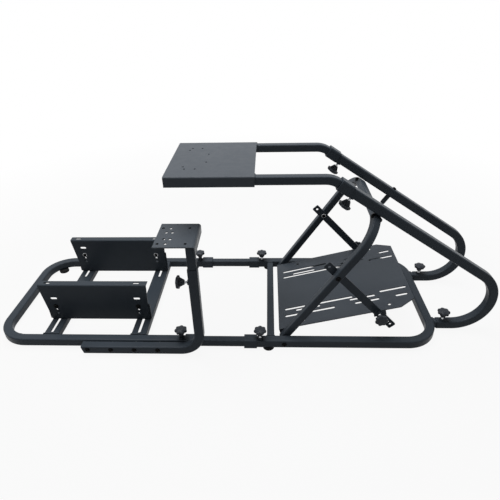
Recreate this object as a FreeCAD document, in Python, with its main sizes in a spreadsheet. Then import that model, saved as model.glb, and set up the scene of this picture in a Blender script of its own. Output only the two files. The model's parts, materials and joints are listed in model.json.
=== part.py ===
"""Sim racing cockpit frame: two telescoping floor loops, a pedal plate on a hoop,
two hooked arms with a sliding wheel deck, seat side brackets and a shifter post.

Frame: +X is the way the driver faces, +Y is the driver's left, +Z is up. The origin is
on the floor, in the middle of the outer box. Lengths are in millimetres.
"""
import FreeCAD, Part
import math
import os

import Sketcher

Vector = FreeCAD.Vector
Rotation = FreeCAD.Rotation
Placement = FreeCAD.Placement
Constraint = Sketcher.Constraint

SIZES = (
    ("overall_length", 1694.0, "seat loop's end to the outside of the arm hooks"),
    ("tube", 30.0, "outside of the square frame tube"),
    ("tube_corner", 5.0, "outside corner radius of the frame tube"),
    ("tube_wall", 1.5, "wall of every tube"),
    ("slide_gap", 0.5, "clearance on each side of a telescoping tube"),
    ("slider_corner", 4.0, "outside corner radius of a telescoping tube"),
    ("rail_spacing", 480.0, "between the centre lines of the two floor rails"),
    ("loop_bend", 95.0, "centre-line radius of the floor loops' corners"),
    ("foot_height", 10.0, "height of a rubber foot"),
    ("foot_width", 38.0, "diameter of a rubber foot"),
    ("collar_size", 36.0, "outside of the square collar on a tube mouth"),
    ("collar_corner", 6.0, "outside corner radius of a collar"),
    ("collar_length", 42.0, "length of a collar"),
    ("collar_lip", 3.0, "lip of a collar over the tube's cut end"),
    ("collar_gap", 0.1, "clearance of a collar round its tube"),
    ("seat_mouth_x", -148.0, "cut ends of the seat loop's rails"),
    ("pedal_mouth_run", 130.0, "cut ends of the pedal loop's rails, back from the hoop's bolts"),
    ("hook_reach", 187.0, "arm hooks past the pedal loop's closed end"),
    ("link_start_x", -321.0, "seat end of the link tubes"),
    ("link_length", 480.0, "length of a link tube"),
    ("cross_tube", 25.0, "outside of the pedal loop's cross tube"),
    ("cross_corner", 4.0, "corner radius of the cross tube"),
    ("cross_tube_run", 45.0, "centre of the cross tube, back from the hoop's bolts"),
    ("arm_spacing", 282.0, "between the two arms' centre planes"),
    ("arm_gap", 11.0, "open lower ends of the arms from the pedal loop"),
    ("arm_bend", 110.0, "centre-line radius of the arm hooks"),
    ("arm_angle", 33.5, "slope of the arms' long leg, degrees"),
    ("stub_length", 58.0, "length of a stub that carries an arm"),
    ("deck_height", 577.0, "top of the wheel plate"),
    ("fork_bend", 70.0, "centre-line radius of the fork tubes' bend"),
    ("fork_start_x", -205.0, "seat-side ends of the fork tubes"),
    ("fork_inside", 260.0, "straight length of a fork tube beyond its bend"),
    ("mouth_margin", 2.0, "from the end of a fork's bend to the arm's collar"),
    ("sheet", 3.0, "thickness of the bent sheet parts"),
    ("wheel_plate_x", -214.0, "seat-side edge of the wheel plate"),
    ("wheel_plate_length", 266.0, "wheel plate along X"),
    ("wheel_flange", 32.0, "depth of the wheel plate's side flanges"),
    ("sheet_bend", 5.0, "outside radius of a fold in sheet"),
    ("fixing_hole", 6.6, "diameter of a hole for a 6 mm screw"),
    ("wheel_rect_x", -144.0, "centre of the wheel plate's four-hole group"),
    ("wheel_rect_dx", 32.0, "four-hole group along X"),
    ("wheel_rect_dy", 186.0, "four-hole group along Y"),
    ("wheel_rear_x", -167.0, "wheel plate's rear pair of holes"),
    ("wheel_rear_dy", 150.0, "rear pair along Y"),
    ("wheel_mid_x", -100.0, "wheel plate's middle pair of holes"),
    ("wheel_mid_dy", 72.0, "middle pair along Y"),
    ("hoop_run", 161.3, "hoop from the arms' mouths, along their slope"),
    ("hoop_tail", 8.0, "hoop leg below the bolt that holds it to its rail"),
    ("hoop_bend", 100.0, "centre-line radius of the hoop's corners"),
    ("hoop_tube", 25.0, "outside of the hoop's square tube"),
    ("hoop_corner", 4.0, "outside corner radius of the hoop's tube"),
    ("strap_width", 26.0, "width of a pedal plate strap"),
    ("strap_sheet", 4.0, "thickness of a strap"),
    ("strap_length", 314.0, "strap between the middles of its ends"),
    ("strap_angle", 46.5, "slope of a strap, degrees"),
    ("strap_bolt_run", 161.5, "bolt where a strap crosses its hoop leg, from the hoop's bolts"),
    ("strap_head", 38.0, "strap above that bolt"),
    ("strap_hole", 8.6, "diameter of a hole for an 8 mm screw"),
    ("strap_hole_step", 13.0, "between a strap's spare holes"),
    ("pedal_plate_run", 16.6, "low edge of the pedal plate, back from the hoop's bolts"),
    ("pedal_plate_z", 39.2, "top of the pedal plate at its low edge"),
    ("pedal_plate_length", 457.6, "pedal plate along its slope"),
    ("pedal_plate_tilt", 14.3, "slope of the pedal plate, degrees"),
    ("pedal_chamfer_x", 50.0, "cut corner of the pedal plate along its slope"),
    ("pedal_chamfer_y", 31.0, "cut corner of the pedal plate across it"),
    ("lug_length", 40.0, "folded lug on the pedal plate's edge"),
    ("lug_depth", 22.0, "lug below the pedal plate's top"),
    ("pedal_slot_wide", 10.0, "width of the pedal plate's slots"),
    ("pedal_row_inner", 98.0, "inner row of slots from the centre plane"),
    ("pedal_row_middle", 112.0, "middle row of slots from the centre plane"),
    ("pedal_row_outer", 135.0, "outer row of slots from the centre plane"),
    ("inner_long_start", 24.0, "inner row's long slot, from the plate's low edge"),
    ("inner_long_end", 265.0, "end of that slot"),
    ("middle_long_start", 63.0, "middle row's first slot"),
    ("middle_long_end", 150.0, "end of that slot"),
    ("outer_long_start", 24.0, "outer row's first slot"),
    ("outer_long_end", 199.0, "end of that slot"),
    ("middle_short_start", 253.0, "middle row's second slot"),
    ("middle_short_end", 340.0, "end of that slot"),
    ("outer_short_start", 268.0, "outer row's second slot"),
    ("outer_short_end", 350.0, "end of that slot"),
    ("inner_toe_start", 358.0, "inner row's slot at the high edge"),
    ("inner_toe_end", 447.0, "end of that slot"),
    ("outer_toe_start", 404.0, "outer row's slot at the high edge"),
    ("outer_toe_end", 443.0, "end of that slot"),
    ("pedal_hole", 10.0, "round holes near the pedal plate's long edges"),
    ("pedal_hole_y", 173.0, "those holes from the centre plane"),
    ("pedal_hole_low", 86.0, "lower pair, from the plate's low edge"),
    ("pedal_hole_high", 375.0, "upper pair, from the plate's low edge"),
    ("front_bar_x", -349.0, "centre of the seat loop's front cross-bar"),
    ("rear_bar_x", -651.0, "centre of the seat loop's rear cross-bar"),
    ("bar_width", 52.0, "width of a cross-bar"),
    ("bar_depth", 22.0, "depth of a cross-bar's folded edges"),
    ("bar_slot_long", 104.0, "slot near each end of a cross-bar"),
    ("bar_slot_wide", 9.0, "width of that slot"),
    ("bar_slot_y", 165.0, "middle of that slot from the centre plane"),
    ("bracket_y", 150.0, "outer face of a seat bracket from the centre plane"),
    ("bracket_top_x", -694.0, "seat bracket's top edge, seat end"),
    ("bracket_top_length", 374.0, "seat bracket's top edge"),
    ("bracket_base_x", -674.0, "seat bracket's lower edge, seat end"),
    ("bracket_base_length", 347.0, "seat bracket's lower edge"),
    ("bracket_height", 146.0, "height of a seat bracket"),
    ("bracket_lift", 2.0, "seat bracket's lower edge above the cross-bars"),
    ("bracket_flange", 25.0, "folded top of a seat bracket"),
    ("seat_slot_long", 23.0, "side slot for a seat bolt"),
    ("seat_slot_wide", 9.0, "width of that slot"),
    ("seat_slot_z_right", 132.0, "height of the right bracket's side slots"),
    ("seat_slot_z_left", 153.0, "height of the left bracket's side slots"),
    ("seat_slot_dx", 290.0, "between a bracket's side slots"),
    ("seat_slot_x", -504.0, "middle of a bracket's side slots"),
    ("bracket_hole", 9.0, "round holes below a side slot"),
    ("bracket_hole_drop", 33.0, "first hole below the side slot"),
    ("bracket_hole_step", 16.0, "between those holes"),
    ("flange_slot_dx", 309.0, "between the slots in a bracket's folded top"),
    ("flange_slot_x", -511.0, "middle of those slots"),
    ("flange_slot_long", 22.0, "slot in a bracket's folded top"),
    ("flange_slot_wide", 8.0, "width of that slot"),
    ("clip_width", 60.0, "small angle that joins bracket and cross-bar"),
    ("clip_leg", 26.0, "leg of that angle on the cross-bar"),
    ("clip_rise_right", 67.0, "leg of that angle behind the right bracket"),
    ("clip_rise_left", 88.0, "leg of that angle behind the left bracket"),
    ("shifter_start_x", -526.0, "seat-side end of the shifter tube"),
    ("shifter_post_x", -130.0, "centre of the shifter post"),
    ("shifter_bend", 65.0, "centre-line radius of the shifter tube's bend"),
    ("shifter_top", 342.0, "top of the outer shifter post"),
    ("shifter_end_cut", 8.0, "slant of the shifter tube's seat-side end"),
    ("rail_hole", 8.6, "holes in the left rail for the shifter tube on that side"),
    ("spacer", 4.0, "spacer between the rail and the shifter tube"),
    ("spacer_width", 18.0, "diameter of a spacer"),
    ("spacer_x", -505.0, "first shifter tube bolt"),
    ("spacer_pitch", 78.0, "between the shifter tube's bolts"),
    ("spacer_count", 4.0, "number of shifter tube bolts"),
    ("shifter_plate_top", 425.0, "top of the shifter plate"),
    ("shifter_plate_length", 120.0, "shifter plate along X"),
    ("shifter_plate_width", 140.0, "shifter plate along Y"),
    ("shifter_overhang", 5.0, "shifter plate past the post's outer face"),
    ("shifter_flange", 30.0, "folded edge of the shifter plate"),
    ("shifter_fold", 8.0, "outside radius of that fold"),
    ("shifter_hole", 9.0, "corner holes of the shifter plate"),
    ("shifter_hole_x", 51.0, "middle of those holes from the plate's seat-side edge"),
    ("shifter_hole_off", 4.0, "middle of those holes outwards of the plate's middle"),
    ("shifter_hole_dx", 80.0, "shifter plate holes along X"),
    ("shifter_hole_dy", 92.0, "shifter plate holes along Y"),
    ("shifter_group", 9.5, "small holes in the shifter plate"),
    ("shifter_group_x", 34.0, "middle of the small holes from the plate's seat-side edge"),
    ("shifter_group_dx", 9.0, "inner four small holes, half way apart along X"),
    ("shifter_group_dy", 19.5, "inner four small holes, half way apart along Y"),
    ("shifter_group_out", 45.0, "outer two small holes from the plate's middle"),
    ("post_inside", 190.0, "inner shifter post below the outer one's top"),
    ("knob_width", 42.0, "star knob across its lobes"),
    ("knob_lobe", 6.5, "radius of a star knob's lobe"),
    ("knob_core", 17.0, "radius of a star knob's round core"),
    ("knob_lobes", 7.0, "number of lobes"),
    ("knob_head", 12.0, "height of a star knob's head"),
    ("knob_crown", 2.5, "rise of a star knob's domed top"),
    ("knob_crown_flat", 8.0, "radius of the flat on that top"),
    ("knob_edge", 1.5, "bevel of a star knob's lobes"),
    ("knob_hub", 15.0, "height of a star knob's tapered hub"),
    ("knob_hub_wide", 11.0, "hub radius under the head"),
    ("knob_hub_thin", 7.5, "hub radius at its end"),
    ("knob_stem", 7.0, "bare screw between the hub and the nut"),
    ("knob_screw", 4.0, "radius of the screw"),
    ("knob_nut", 6.0, "height of the weld nut"),
    ("knob_nut_wide", 9.0, "radius of the weld nut"),
    ("rail_knob_run", 50.0, "knob on a rail, from its cut end"),
    ("arm_knob_run", 19.0, "knob on an arm's lower end, from that end"),
    ("mouth_knob", 56.0, "knob on an arm's underside, from its mouth"),
    ("shifter_knob_z", 292.0, "knob on the shifter post"),
    ("foot_mouth_inset", 36.0, "foot from the collar of a rail"),
    ("foot_corner_inset", 62.0, "corner foot from a loop's closed end"),
)

DOC = FreeCAD.newDocument("SimRacingCockpit")
SHEET = DOC.addObject("Spreadsheet::Sheet", "Sizes")
for row, (alias, number, note) in enumerate(SIZES, start=1):
    SHEET.set(f"A{row}", alias)
    SHEET.set(f"B{row}", repr(number))
    SHEET.set(f"C{row}", note)
    SHEET.setAlias(f"B{row}", alias)
DOC.recompute()

# Lengths that follow from the sheet, written once for the features that share them.
RAIL_Z = "(Sizes.foot_height + Sizes.tube / 2)"
RAIL_TOP = "(Sizes.foot_height + Sizes.tube)"
SLIDER = "(Sizes.tube - 2 * Sizes.tube_wall - 2 * Sizes.slide_gap)"
SHIFTER_Y = "(Sizes.rail_spacing / 2 + Sizes.tube + Sizes.spacer)"
SHIFTER_EDGE = f"({SHIFTER_Y} + Sizes.tube / 2 + Sizes.shifter_overhang)"
MID_Y = f"(({SHIFTER_EDGE} - Sizes.rail_spacing / 2 - Sizes.knob_width / 2) / 2)"
LEG_Y = "(Sizes.rail_spacing / 2 - Sizes.tube / 2 - Sizes.hoop_tube / 2)"
STRAP_Y = f"({LEG_Y} - Sizes.hoop_tube / 2)"
PLATE_HALF = f"({STRAP_Y} - Sizes.strap_sheet)"
SLOPE = "(Sizes.arm_angle * 1 deg)"
ARC_X = "(Sizes.overall_length / 2 - Sizes.tube / 2 - Sizes.arm_bend)"
ARC_Z = f"({RAIL_Z} + Sizes.arm_bend)"
ARM_LINE = f"(sin{SLOPE} * {ARC_X} + cos{SLOPE} * {ARC_Z} + Sizes.arm_bend)"
FORK_Z = f"(Sizes.deck_height - Sizes.sheet - {SLIDER} / 2)"
FORK_CORNER_X = f"(({ARM_LINE} - cos{SLOPE} * {FORK_Z}) / sin{SLOPE})"
FORK_TANGENT = "(Sizes.fork_bend * tan(Sizes.arm_angle * 0.5 deg))"
MOUTH_RUN = f"({FORK_TANGENT} + Sizes.mouth_margin)"
MOUTH_X = f"({FORK_CORNER_X} + {MOUTH_RUN} * cos{SLOPE})"
MOUTH_Z = f"({FORK_Z} - {MOUTH_RUN} * sin{SLOPE})"
HOOP_X = f"({MOUTH_X} + (Sizes.hoop_run - sin{SLOPE} * ({MOUTH_Z} - {RAIL_Z})) / cos{SLOPE})"
HOOP_REACH = (f"(sin{SLOPE} * ({ARC_X} - {HOOP_X}) + cos{SLOPE} * ({ARC_Z} - {RAIL_Z})"
              " + Sizes.arm_bend - Sizes.tube / 2 - Sizes.hoop_tube / 2)")
PEDAL_MOUTH_X = f"({HOOP_X} - Sizes.pedal_mouth_run)"
PEDAL_LOOP_X = "(Sizes.overall_length / 2 - Sizes.hook_reach)"
PEDAL_PLATE_X = f"({HOOP_X} - Sizes.pedal_plate_run)"
ARM_START_X = f"({PEDAL_LOOP_X} + Sizes.arm_gap)"
STRAP_X = f"({HOOP_X} + Sizes.strap_bolt_run)"
STRAP_Z = f"({RAIL_Z} + Sizes.strap_bolt_run * tan((90 - Sizes.arm_angle) * 1 deg))"


def value(expression):
    """Number that an expression on the sheet comes to."""
    found = SHEET.evalExpression(expression)
    return float(getattr(found, "Value", found))


def bind(thing, prop, expression):
    """Tie one property of a feature to the sheet."""
    thing.setExpression(prop, expression)


def put(thing, x="0", y="0", z="0", axis=Vector(0, 0, 1), turn="0"):
    """Place a sub-part: its base point and turn follow the sheet."""
    thing.Placement = Placement(Vector(value(x), value(y), value(z)), Rotation(axis, value(turn)))
    bind(thing, "Placement.Base.x", x)
    bind(thing, "Placement.Base.y", y)
    bind(thing, "Placement.Base.z", z)
    if turn != "0":
        bind(thing, "Placement.Rotation.Angle", f"({turn}) * 1 deg")


def new_body(label):
    """Body for one sub-part."""
    body = DOC.addObject("PartDesign::Body", label)
    body.Label = label
    return body


def new_sketch(body, name, role, x="0", y="0", z="0"):
    """Sketch on one of the body's origin planes, moved by x, y, z in the sketch's own axes."""
    sketch = body.newObject("Sketcher::SketchObject", name)
    plane = next(part for part in body.Origin.OriginFeatures if part.Role == role)
    sketch.AttachmentSupport = (plane, "")
    sketch.MapMode = "FlatFace"
    sketch.AttachmentOffset = Placement(Vector(value(x), value(y), value(z)), Rotation())
    bind(sketch, "AttachmentOffset.Base.x", x)
    bind(sketch, "AttachmentOffset.Base.y", y)
    bind(sketch, "AttachmentOffset.Base.z", z)
    return sketch


def dimension(sketch, constraint, expression):
    """Add a driving dimension and tie it to the sheet."""
    index = sketch.addConstraint(constraint)
    name = f"size_{index}"
    sketch.renameConstraint(index, name)
    bind(sketch, f"Constraints.{name}", expression)


def place_point(sketch, direction, geometry, point, expression):
    """Fix one coordinate of a point from the sketch's origin, on either side of it."""
    number = value(expression)
    if number >= 0:
        dimension(sketch, Constraint(direction, -1, 1, geometry, point, number), expression)
    else:
        dimension(sketch, Constraint(direction, geometry, point, -1, 1, -number), f"-({expression})")


def add_line(sketch, start, end):
    """Line segment between two (x, y) points."""
    return sketch.addGeometry(Part.LineSegment(Vector(*start, 0), Vector(*end, 0)), False)


def add_arc(sketch, centre, radius, start, end):
    """Arc about a centre, counter-clockwise between two angles in radians."""
    circle = Part.Circle(Vector(*centre, 0), Vector(0, 0, 1), radius)
    return sketch.addGeometry(Part.ArcOfCircle(circle, start, end), False)


def outline(sketch, corners):
    """Closed outline from (x, y, radius) corners given counter-clockwise.

    A radius of None leaves the corner sharp. Rounded corners join level and upright edges.
    """
    count = len(corners)
    points = [(value(x), value(y)) for x, y, _ in corners]
    radii = [0.0 if radius is None else value(radius) for _, _, radius in corners]
    level, upright = [], []
    for i in range(count):
        (ax, ay), (bx, by) = points[i], points[(i + 1) % count]
        level.append(abs(ay - by) < 1e-7)
        upright.append(abs(ax - bx) < 1e-7)
    lines = []
    for i in range(count):
        j = (i + 1) % count
        (ax, ay), (bx, by) = points[i], points[j]
        run = math.hypot(bx - ax, by - ay)
        ux, uy = (bx - ax) / run, (by - ay) / run
        start = (ax + ux * radii[i], ay + uy * radii[i])
        end = (bx - ux * radii[j], by - uy * radii[j])
        lines.append(add_line(sketch, start, end))
    for i, (x, y, radius) in enumerate(corners):
        before, after = lines[i - 1], lines[i]
        if radius is None:
            sketch.addConstraint(Constraint("Coincident", before, 2, after, 1))
            continue
        (px, py), (cx, cy), (nx, ny) = points[i - 1], points[i], points[(i + 1) % count]
        inx, iny = (cx - px) / math.hypot(cx - px, cy - py), (cy - py) / math.hypot(cx - px, cy - py)
        outx, outy = (nx - cx) / math.hypot(nx - cx, ny - cy), (ny - cy) / math.hypot(nx - cx, ny - cy)
        r = radii[i]
        centre = (cx - inx * r + outx * r, cy - iny * r + outy * r)
        first = math.atan2(cy - iny * r - centre[1], cx - inx * r - centre[0])
        last = math.atan2(cy + outy * r - centre[1], cx + outx * r - centre[0])
        left_turn = inx * outy - iny * outx > 0
        arc = add_arc(sketch, centre, r, *((first, last) if left_turn else (last, first)))
        sketch.addConstraint(Constraint("Tangent", before, 2, arc, 1 if left_turn else 2))
        sketch.addConstraint(Constraint("Tangent", arc, 2 if left_turn else 1, after, 1))
        dimension(sketch, Constraint("Radius", arc, r), radius)
    for i, (x, y, _) in enumerate(corners):
        if level[i]:
            sketch.addConstraint(Constraint("Horizontal", lines[i]))
            place_point(sketch, "DistanceY", lines[i], 1, y)
        elif upright[i]:
            sketch.addConstraint(Constraint("Vertical", lines[i]))
            place_point(sketch, "DistanceX", lines[i], 1, x)
    for i, (x, y, radius) in enumerate(corners):
        if radius is not None:
            continue
        if not (level[i] or level[i - 1]):
            place_point(sketch, "DistanceY", lines[i], 1, y)
        if not (upright[i] or upright[i - 1]):
            place_point(sketch, "DistanceX", lines[i], 1, x)


def rounded_square(sketch, width, radius):
    """Square about the sketch's origin with four rounded corners."""
    half = f"({width} / 2)"
    corners = ((f"-{half}", f"-{half}"), (half, f"-{half}"), (half, half), (f"-{half}", half))
    outline(sketch, [(x, y, radius) for x, y in corners])


def ring(sketch, width, corner, wall="Sizes.tube_wall"):
    """Section of a square tube."""
    rounded_square(sketch, width, corner)
    rounded_square(sketch, f"({width} - 2 * {wall})", f"({corner} - {wall})")


def circle(sketch, x, y, diameter):
    """Round hole."""
    shape = Part.Circle(Vector(value(x), value(y), 0), Vector(0, 0, 1), value(diameter) / 2)
    hole = sketch.addGeometry(shape, False)
    dimension(sketch, Constraint("Diameter", hole, value(diameter)), diameter)
    place_point(sketch, "DistanceX", hole, 3, x)
    place_point(sketch, "DistanceY", hole, 3, y)


def slot(sketch, x, y, long, wide):
    """Slot with round ends that runs along the sketch's X axis."""
    r = value(wide) / 2
    reach = f"(({long} - {wide}) / 2)"
    cx, cy, d = value(x), value(y), value(reach)
    right = add_arc(sketch, (cx + d, cy), r, -math.pi / 2, math.pi / 2)
    top = add_line(sketch, (cx + d, cy + r), (cx - d, cy + r))
    left = add_arc(sketch, (cx - d, cy), r, math.pi / 2, 3 * math.pi / 2)
    low = add_line(sketch, (cx - d, cy - r), (cx + d, cy - r))
    for before, after in ((right, top), (top, left), (left, low), (low, right)):
        sketch.addConstraint(Constraint("Tangent", before, 2, after, 1))
    sketch.addConstraint(Constraint("Horizontal", top))
    sketch.addConstraint(Constraint("Horizontal", low))
    dimension(sketch, Constraint("Radius", right, r), f"{wide} / 2")
    place_point(sketch, "DistanceX", right, 3, f"({x} + {reach})")
    place_point(sketch, "DistanceY", right, 3, y)
    place_point(sketch, "DistanceX", left, 3, f"({x} - {reach})")


def pad(body, sketch, length, both_ways=False, reverse=False):
    """Pad a sketch along its normal."""
    feature = body.newObject("PartDesign::Pad", "Pad")
    feature.Profile = sketch
    feature.Length = value(length)
    bind(feature, "Length", length)
    if both_ways:
        feature.SideType = "Symmetric"
    feature.Reversed = reverse
    return feature


def pocket(body, sketch, length):
    """Cut a sketch out of the body, on both sides of its plane."""
    DOC.recompute()
    before = body.Shape.Volume
    feature = body.newObject("PartDesign::Pocket", "Pocket")
    feature.Profile = sketch
    feature.SideType = "Symmetric"
    feature.Length = value(length)
    bind(feature, "Length", length)
    DOC.recompute()
    if body.Shape.Volume >= before - 1.0:
        raise RuntimeError(f"{body.Label}: a pocket cut nothing")
    return feature


def pipe(body, profile, spine):
    """Sweep a tube section along a bent centre line."""
    DOC.recompute()
    feature = body.newObject("PartDesign::AdditivePipe", "Tube")
    feature.Profile = profile
    feature.Spine = spine
    feature.Mode = "Standard"
    feature.Transition = "Transformed"
    return feature


def u_tube(label, open_x, closed_x, half_width, bend, width="Sizes.tube", corner="Sizes.tube_corner"):
    """U-bent frame tube in the body's XY plane, open at open_x and closed at closed_x."""
    body = new_body(label)
    spine = new_sketch(body, "Spine", "XY_Plane")
    x0, x1, h, r = value(open_x), value(closed_x), value(half_width), value(bend)
    near = add_line(spine, (x0, -h), (x1 - r, -h))
    first = add_arc(spine, (x1 - r, r - h), r, -math.pi / 2, 0)
    end = add_line(spine, (x1, r - h), (x1, h - r))
    second = add_arc(spine, (x1 - r, h - r), r, 0, math.pi / 2)
    far = add_line(spine, (x1 - r, h), (x0, h))
    for before, after in ((near, first), (first, end), (end, second), (second, far)):
        spine.addConstraint(Constraint("Tangent", before, 2, after, 1))
    spine.addConstraint(Constraint("Horizontal", near))
    spine.addConstraint(Constraint("Vertical", end))
    spine.addConstraint(Constraint("Horizontal", far))
    spine.addConstraint(Constraint("Equal", first, second))
    dimension(spine, Constraint("Radius", first, r), bend)
    place_point(spine, "DistanceX", near, 1, open_x)
    place_point(spine, "DistanceY", near, 1, f"-{half_width}")
    place_point(spine, "DistanceX", end, 1, closed_x)
    place_point(spine, "DistanceX", far, 2, open_x)
    place_point(spine, "DistanceY", far, 2, half_width)
    profile = new_sketch(body, "Section", "YZ_Plane", x=f"-{half_width}", z=open_x)
    ring(profile, width, corner)
    pipe(body, profile, spine)
    return body


def bent_tube(label, width, corner, start, level_run, bend, turn, leg):
    """Tube in the body's XZ plane: a level run along +X, one bend, then a straight leg.

    turn is the bend's angle in degrees: positive bends upwards, negative downwards.
    """
    body = new_body(label)
    spine = new_sketch(body, "Spine", "XZ_Plane")
    x0, z0 = (value(number) for number in start)
    run, r, angle, end = value(level_run), value(bend), math.radians(value(turn)), value(leg)
    level = add_line(spine, (x0, z0), (x0 + run, z0))
    cx, side = x0 + run, math.copysign(1.0, angle)
    cz = z0 + side * r
    px, pz = cx + r * math.sin(abs(angle)), cz - side * r * math.cos(angle)
    if side > 0:
        arc = add_arc(spine, (cx, cz), r, -math.pi / 2, -math.pi / 2 + angle)
    else:
        arc = add_arc(spine, (cx, cz), r, math.pi / 2 + angle, math.pi / 2)
    straight = add_line(spine, (px, pz), (px + end * math.cos(angle), pz + end * math.sin(angle)))
    near, far = (1, 2) if side > 0 else (2, 1)
    spine.addConstraint(Constraint("Tangent", level, 2, arc, near))
    spine.addConstraint(Constraint("Tangent", arc, far, straight, 1))
    spine.addConstraint(Constraint("Horizontal", level))
    dimension(spine, Constraint("Radius", arc, r), bend)
    place_point(spine, "DistanceX", level, 1, start[0])
    place_point(spine, "DistanceY", level, 1, start[1])
    place_point(spine, "DistanceX", level, 2, f"({start[0]} + {level_run})")
    place_point(spine, "DistanceX", straight, 2,
                f"({start[0]} + {level_run} + {bend} * sin(abs({turn}) * 1 deg)"
                f" + {leg} * cos(({turn}) * 1 deg))")
    dimension(spine, Constraint("Distance", straight, end), leg)
    profile = new_sketch(body, "Section", "YZ_Plane", y=start[1], z=start[0])
    ring(profile, width, corner)
    pipe(body, profile, spine)
    return body


def straight_tube(label, role, width, corner, length, both_ways=False):
    """Straight square tube from the body's origin along the plane's normal."""
    body = new_body(label)
    section = new_sketch(body, "Section", role)
    ring(section, width, corner)
    pad(body, section, length, both_ways)
    return body


def collar(label):
    """Square collar over a tube's cut end, mouth at the body's origin, facing -X."""
    body = new_body(label)
    lip = new_sketch(body, "Lip", "YZ_Plane")
    rounded_square(lip, "Sizes.collar_size", "Sizes.collar_corner")
    rounded_square(lip, "(Sizes.tube - 2 * Sizes.tube_wall)", "(Sizes.tube_corner - Sizes.tube_wall)")
    pad(body, lip, "Sizes.collar_lip")
    sleeve = new_sketch(body, "Sleeve", "YZ_Plane", z="Sizes.collar_lip")
    rounded_square(sleeve, "Sizes.collar_size", "Sizes.collar_corner")
    rounded_square(sleeve, "(Sizes.tube + 2 * Sizes.collar_gap)", "(Sizes.tube_corner + Sizes.collar_gap)")
    pad(body, sleeve, "(Sizes.collar_length - Sizes.collar_lip)")
    return body


def channel(label, role, width, depth, length):
    """Folded sheet channel: flat on top at the body's origin, edges folded down."""
    body = new_body(label)
    section = new_sketch(body, "Section", role)
    half, inner = f"({width} / 2)", f"({width} / 2 - Sizes.sheet)"
    outer_bend, inner_bend = "Sizes.sheet_bend", "(Sizes.sheet_bend - Sizes.sheet)"
    outline(section, (
        (f"-{half}", f"-{depth}", None), (f"-{inner}", f"-{depth}", None),
        (f"-{inner}", "-Sizes.sheet", inner_bend), (inner, "-Sizes.sheet", inner_bend),
        (inner, f"-{depth}", None), (half, f"-{depth}", None),
        (half, "0", outer_bend), (f"-{half}", "0", outer_bend)))
    pad(body, section, length, both_ways=True)
    return body


def compound(label, pieces):
    """Node of like pieces that don't touch."""
    group = DOC.addObject("Part::Compound", label)
    group.Label = label
    group.Links = pieces
    return group


def star_knob():
    """Star knob with its screw and weld nut, standing on the XY plane along +Z."""
    body = new_body("star_knob_master")
    half = new_sketch(body, "Half", "XZ_Plane")
    stem_z = "Sizes.knob_nut"
    hub_z = f"({stem_z} + Sizes.knob_stem)"
    head_z = f"({hub_z} + Sizes.knob_hub)"
    top_z = f"({head_z} + Sizes.knob_head)"
    rim_z = f"({top_z} - Sizes.knob_crown)"
    outline(half, (
        ("0", "0", None), ("Sizes.knob_nut_wide", "0", None),
        ("Sizes.knob_nut_wide", stem_z, None), ("Sizes.knob_screw", stem_z, None),
        ("Sizes.knob_screw", hub_z, None), ("Sizes.knob_hub_thin", hub_z, None),
        ("Sizes.knob_hub_wide", head_z, None), ("Sizes.knob_core", head_z, None),
        ("Sizes.knob_core", rim_z, None), ("Sizes.knob_crown_flat", top_z, None), ("0", top_z, None)))
    turned = body.newObject("PartDesign::Revolution", "Turned")
    turned.Profile = half
    turned.ReferenceAxis = (half, ["V_Axis"])
    turned.Angle = 360.0
    DOC.recompute()
    lobe = new_sketch(body, "Lobe", "YZ_Plane")
    middle = "(Sizes.knob_width / 2 - Sizes.knob_lobe)"
    tip, shoulder = "(Sizes.knob_width / 2)", "(Sizes.knob_width / 2 - Sizes.knob_edge)"
    outline(lobe, (
        (middle, head_z, None), (shoulder, head_z, None), (tip, f"({head_z} + Sizes.knob_edge)", None),
        (tip, f"({rim_z} - Sizes.knob_edge)", None), (shoulder, rim_z, None), (middle, rim_z, None)))
    first = body.newObject("PartDesign::Revolution", "Lobe")
    first.Profile = lobe
    centre = value(middle)
    axis_line = lobe.addGeometry(Part.LineSegment(Vector(centre, 0, 0), Vector(centre, 1, 0)), True)
    lobe.addConstraint(Constraint("Vertical", axis_line))
    place_point(lobe, "DistanceX", axis_line, 1, middle)
    place_point(lobe, "DistanceY", axis_line, 1, "0")
    place_point(lobe, "DistanceY", axis_line, 2, "Sizes.knob_lobe")
    first.ReferenceAxis = (lobe, ["Axis0"])
    first.Angle = 360.0
    DOC.recompute()
    pattern = body.newObject("PartDesign::PolarPattern", "Lobes")
    pattern.Originals = [first]
    pattern.Axis = (half, ["V_Axis"])
    pattern.Angle = 360.0
    pattern.Occurrences = int(value("Sizes.knob_lobes"))
    body.Tip = pattern
    DOC.recompute()
    return body


def knobs(label, master, seats):
    """Node of star knobs: each seat is a base point and the direction the knob points."""
    shapes = []
    for base, direction in seats:
        shape = master.Shape.copy()
        shape.Placement = Placement(Vector(*base), Rotation(Vector(0, 0, 1), Vector(*direction)))
        shapes.append(shape)
    feature = DOC.addObject("Part::Feature", label)
    feature.Label = label
    feature.Shape = shapes[0] if len(shapes) == 1 else Part.makeCompound(shapes)
    return feature


def feet(label, spots):
    """Node of round rubber feet under a floor loop."""
    discs = []
    for number, (x, y) in enumerate(spots, start=1):
        disc = DOC.addObject("Part::Cylinder", f"{label}_{number}")
        bind(disc, "Radius", "Sizes.foot_width / 2")
        bind(disc, "Height", "Sizes.foot_height")
        put(disc, x, f"{MID_Y} + ({y})")
        discs.append(disc)
    return compound(label, discs)


NODES = []
SIDES = (("right", "-1"), ("left", "1"))

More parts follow.
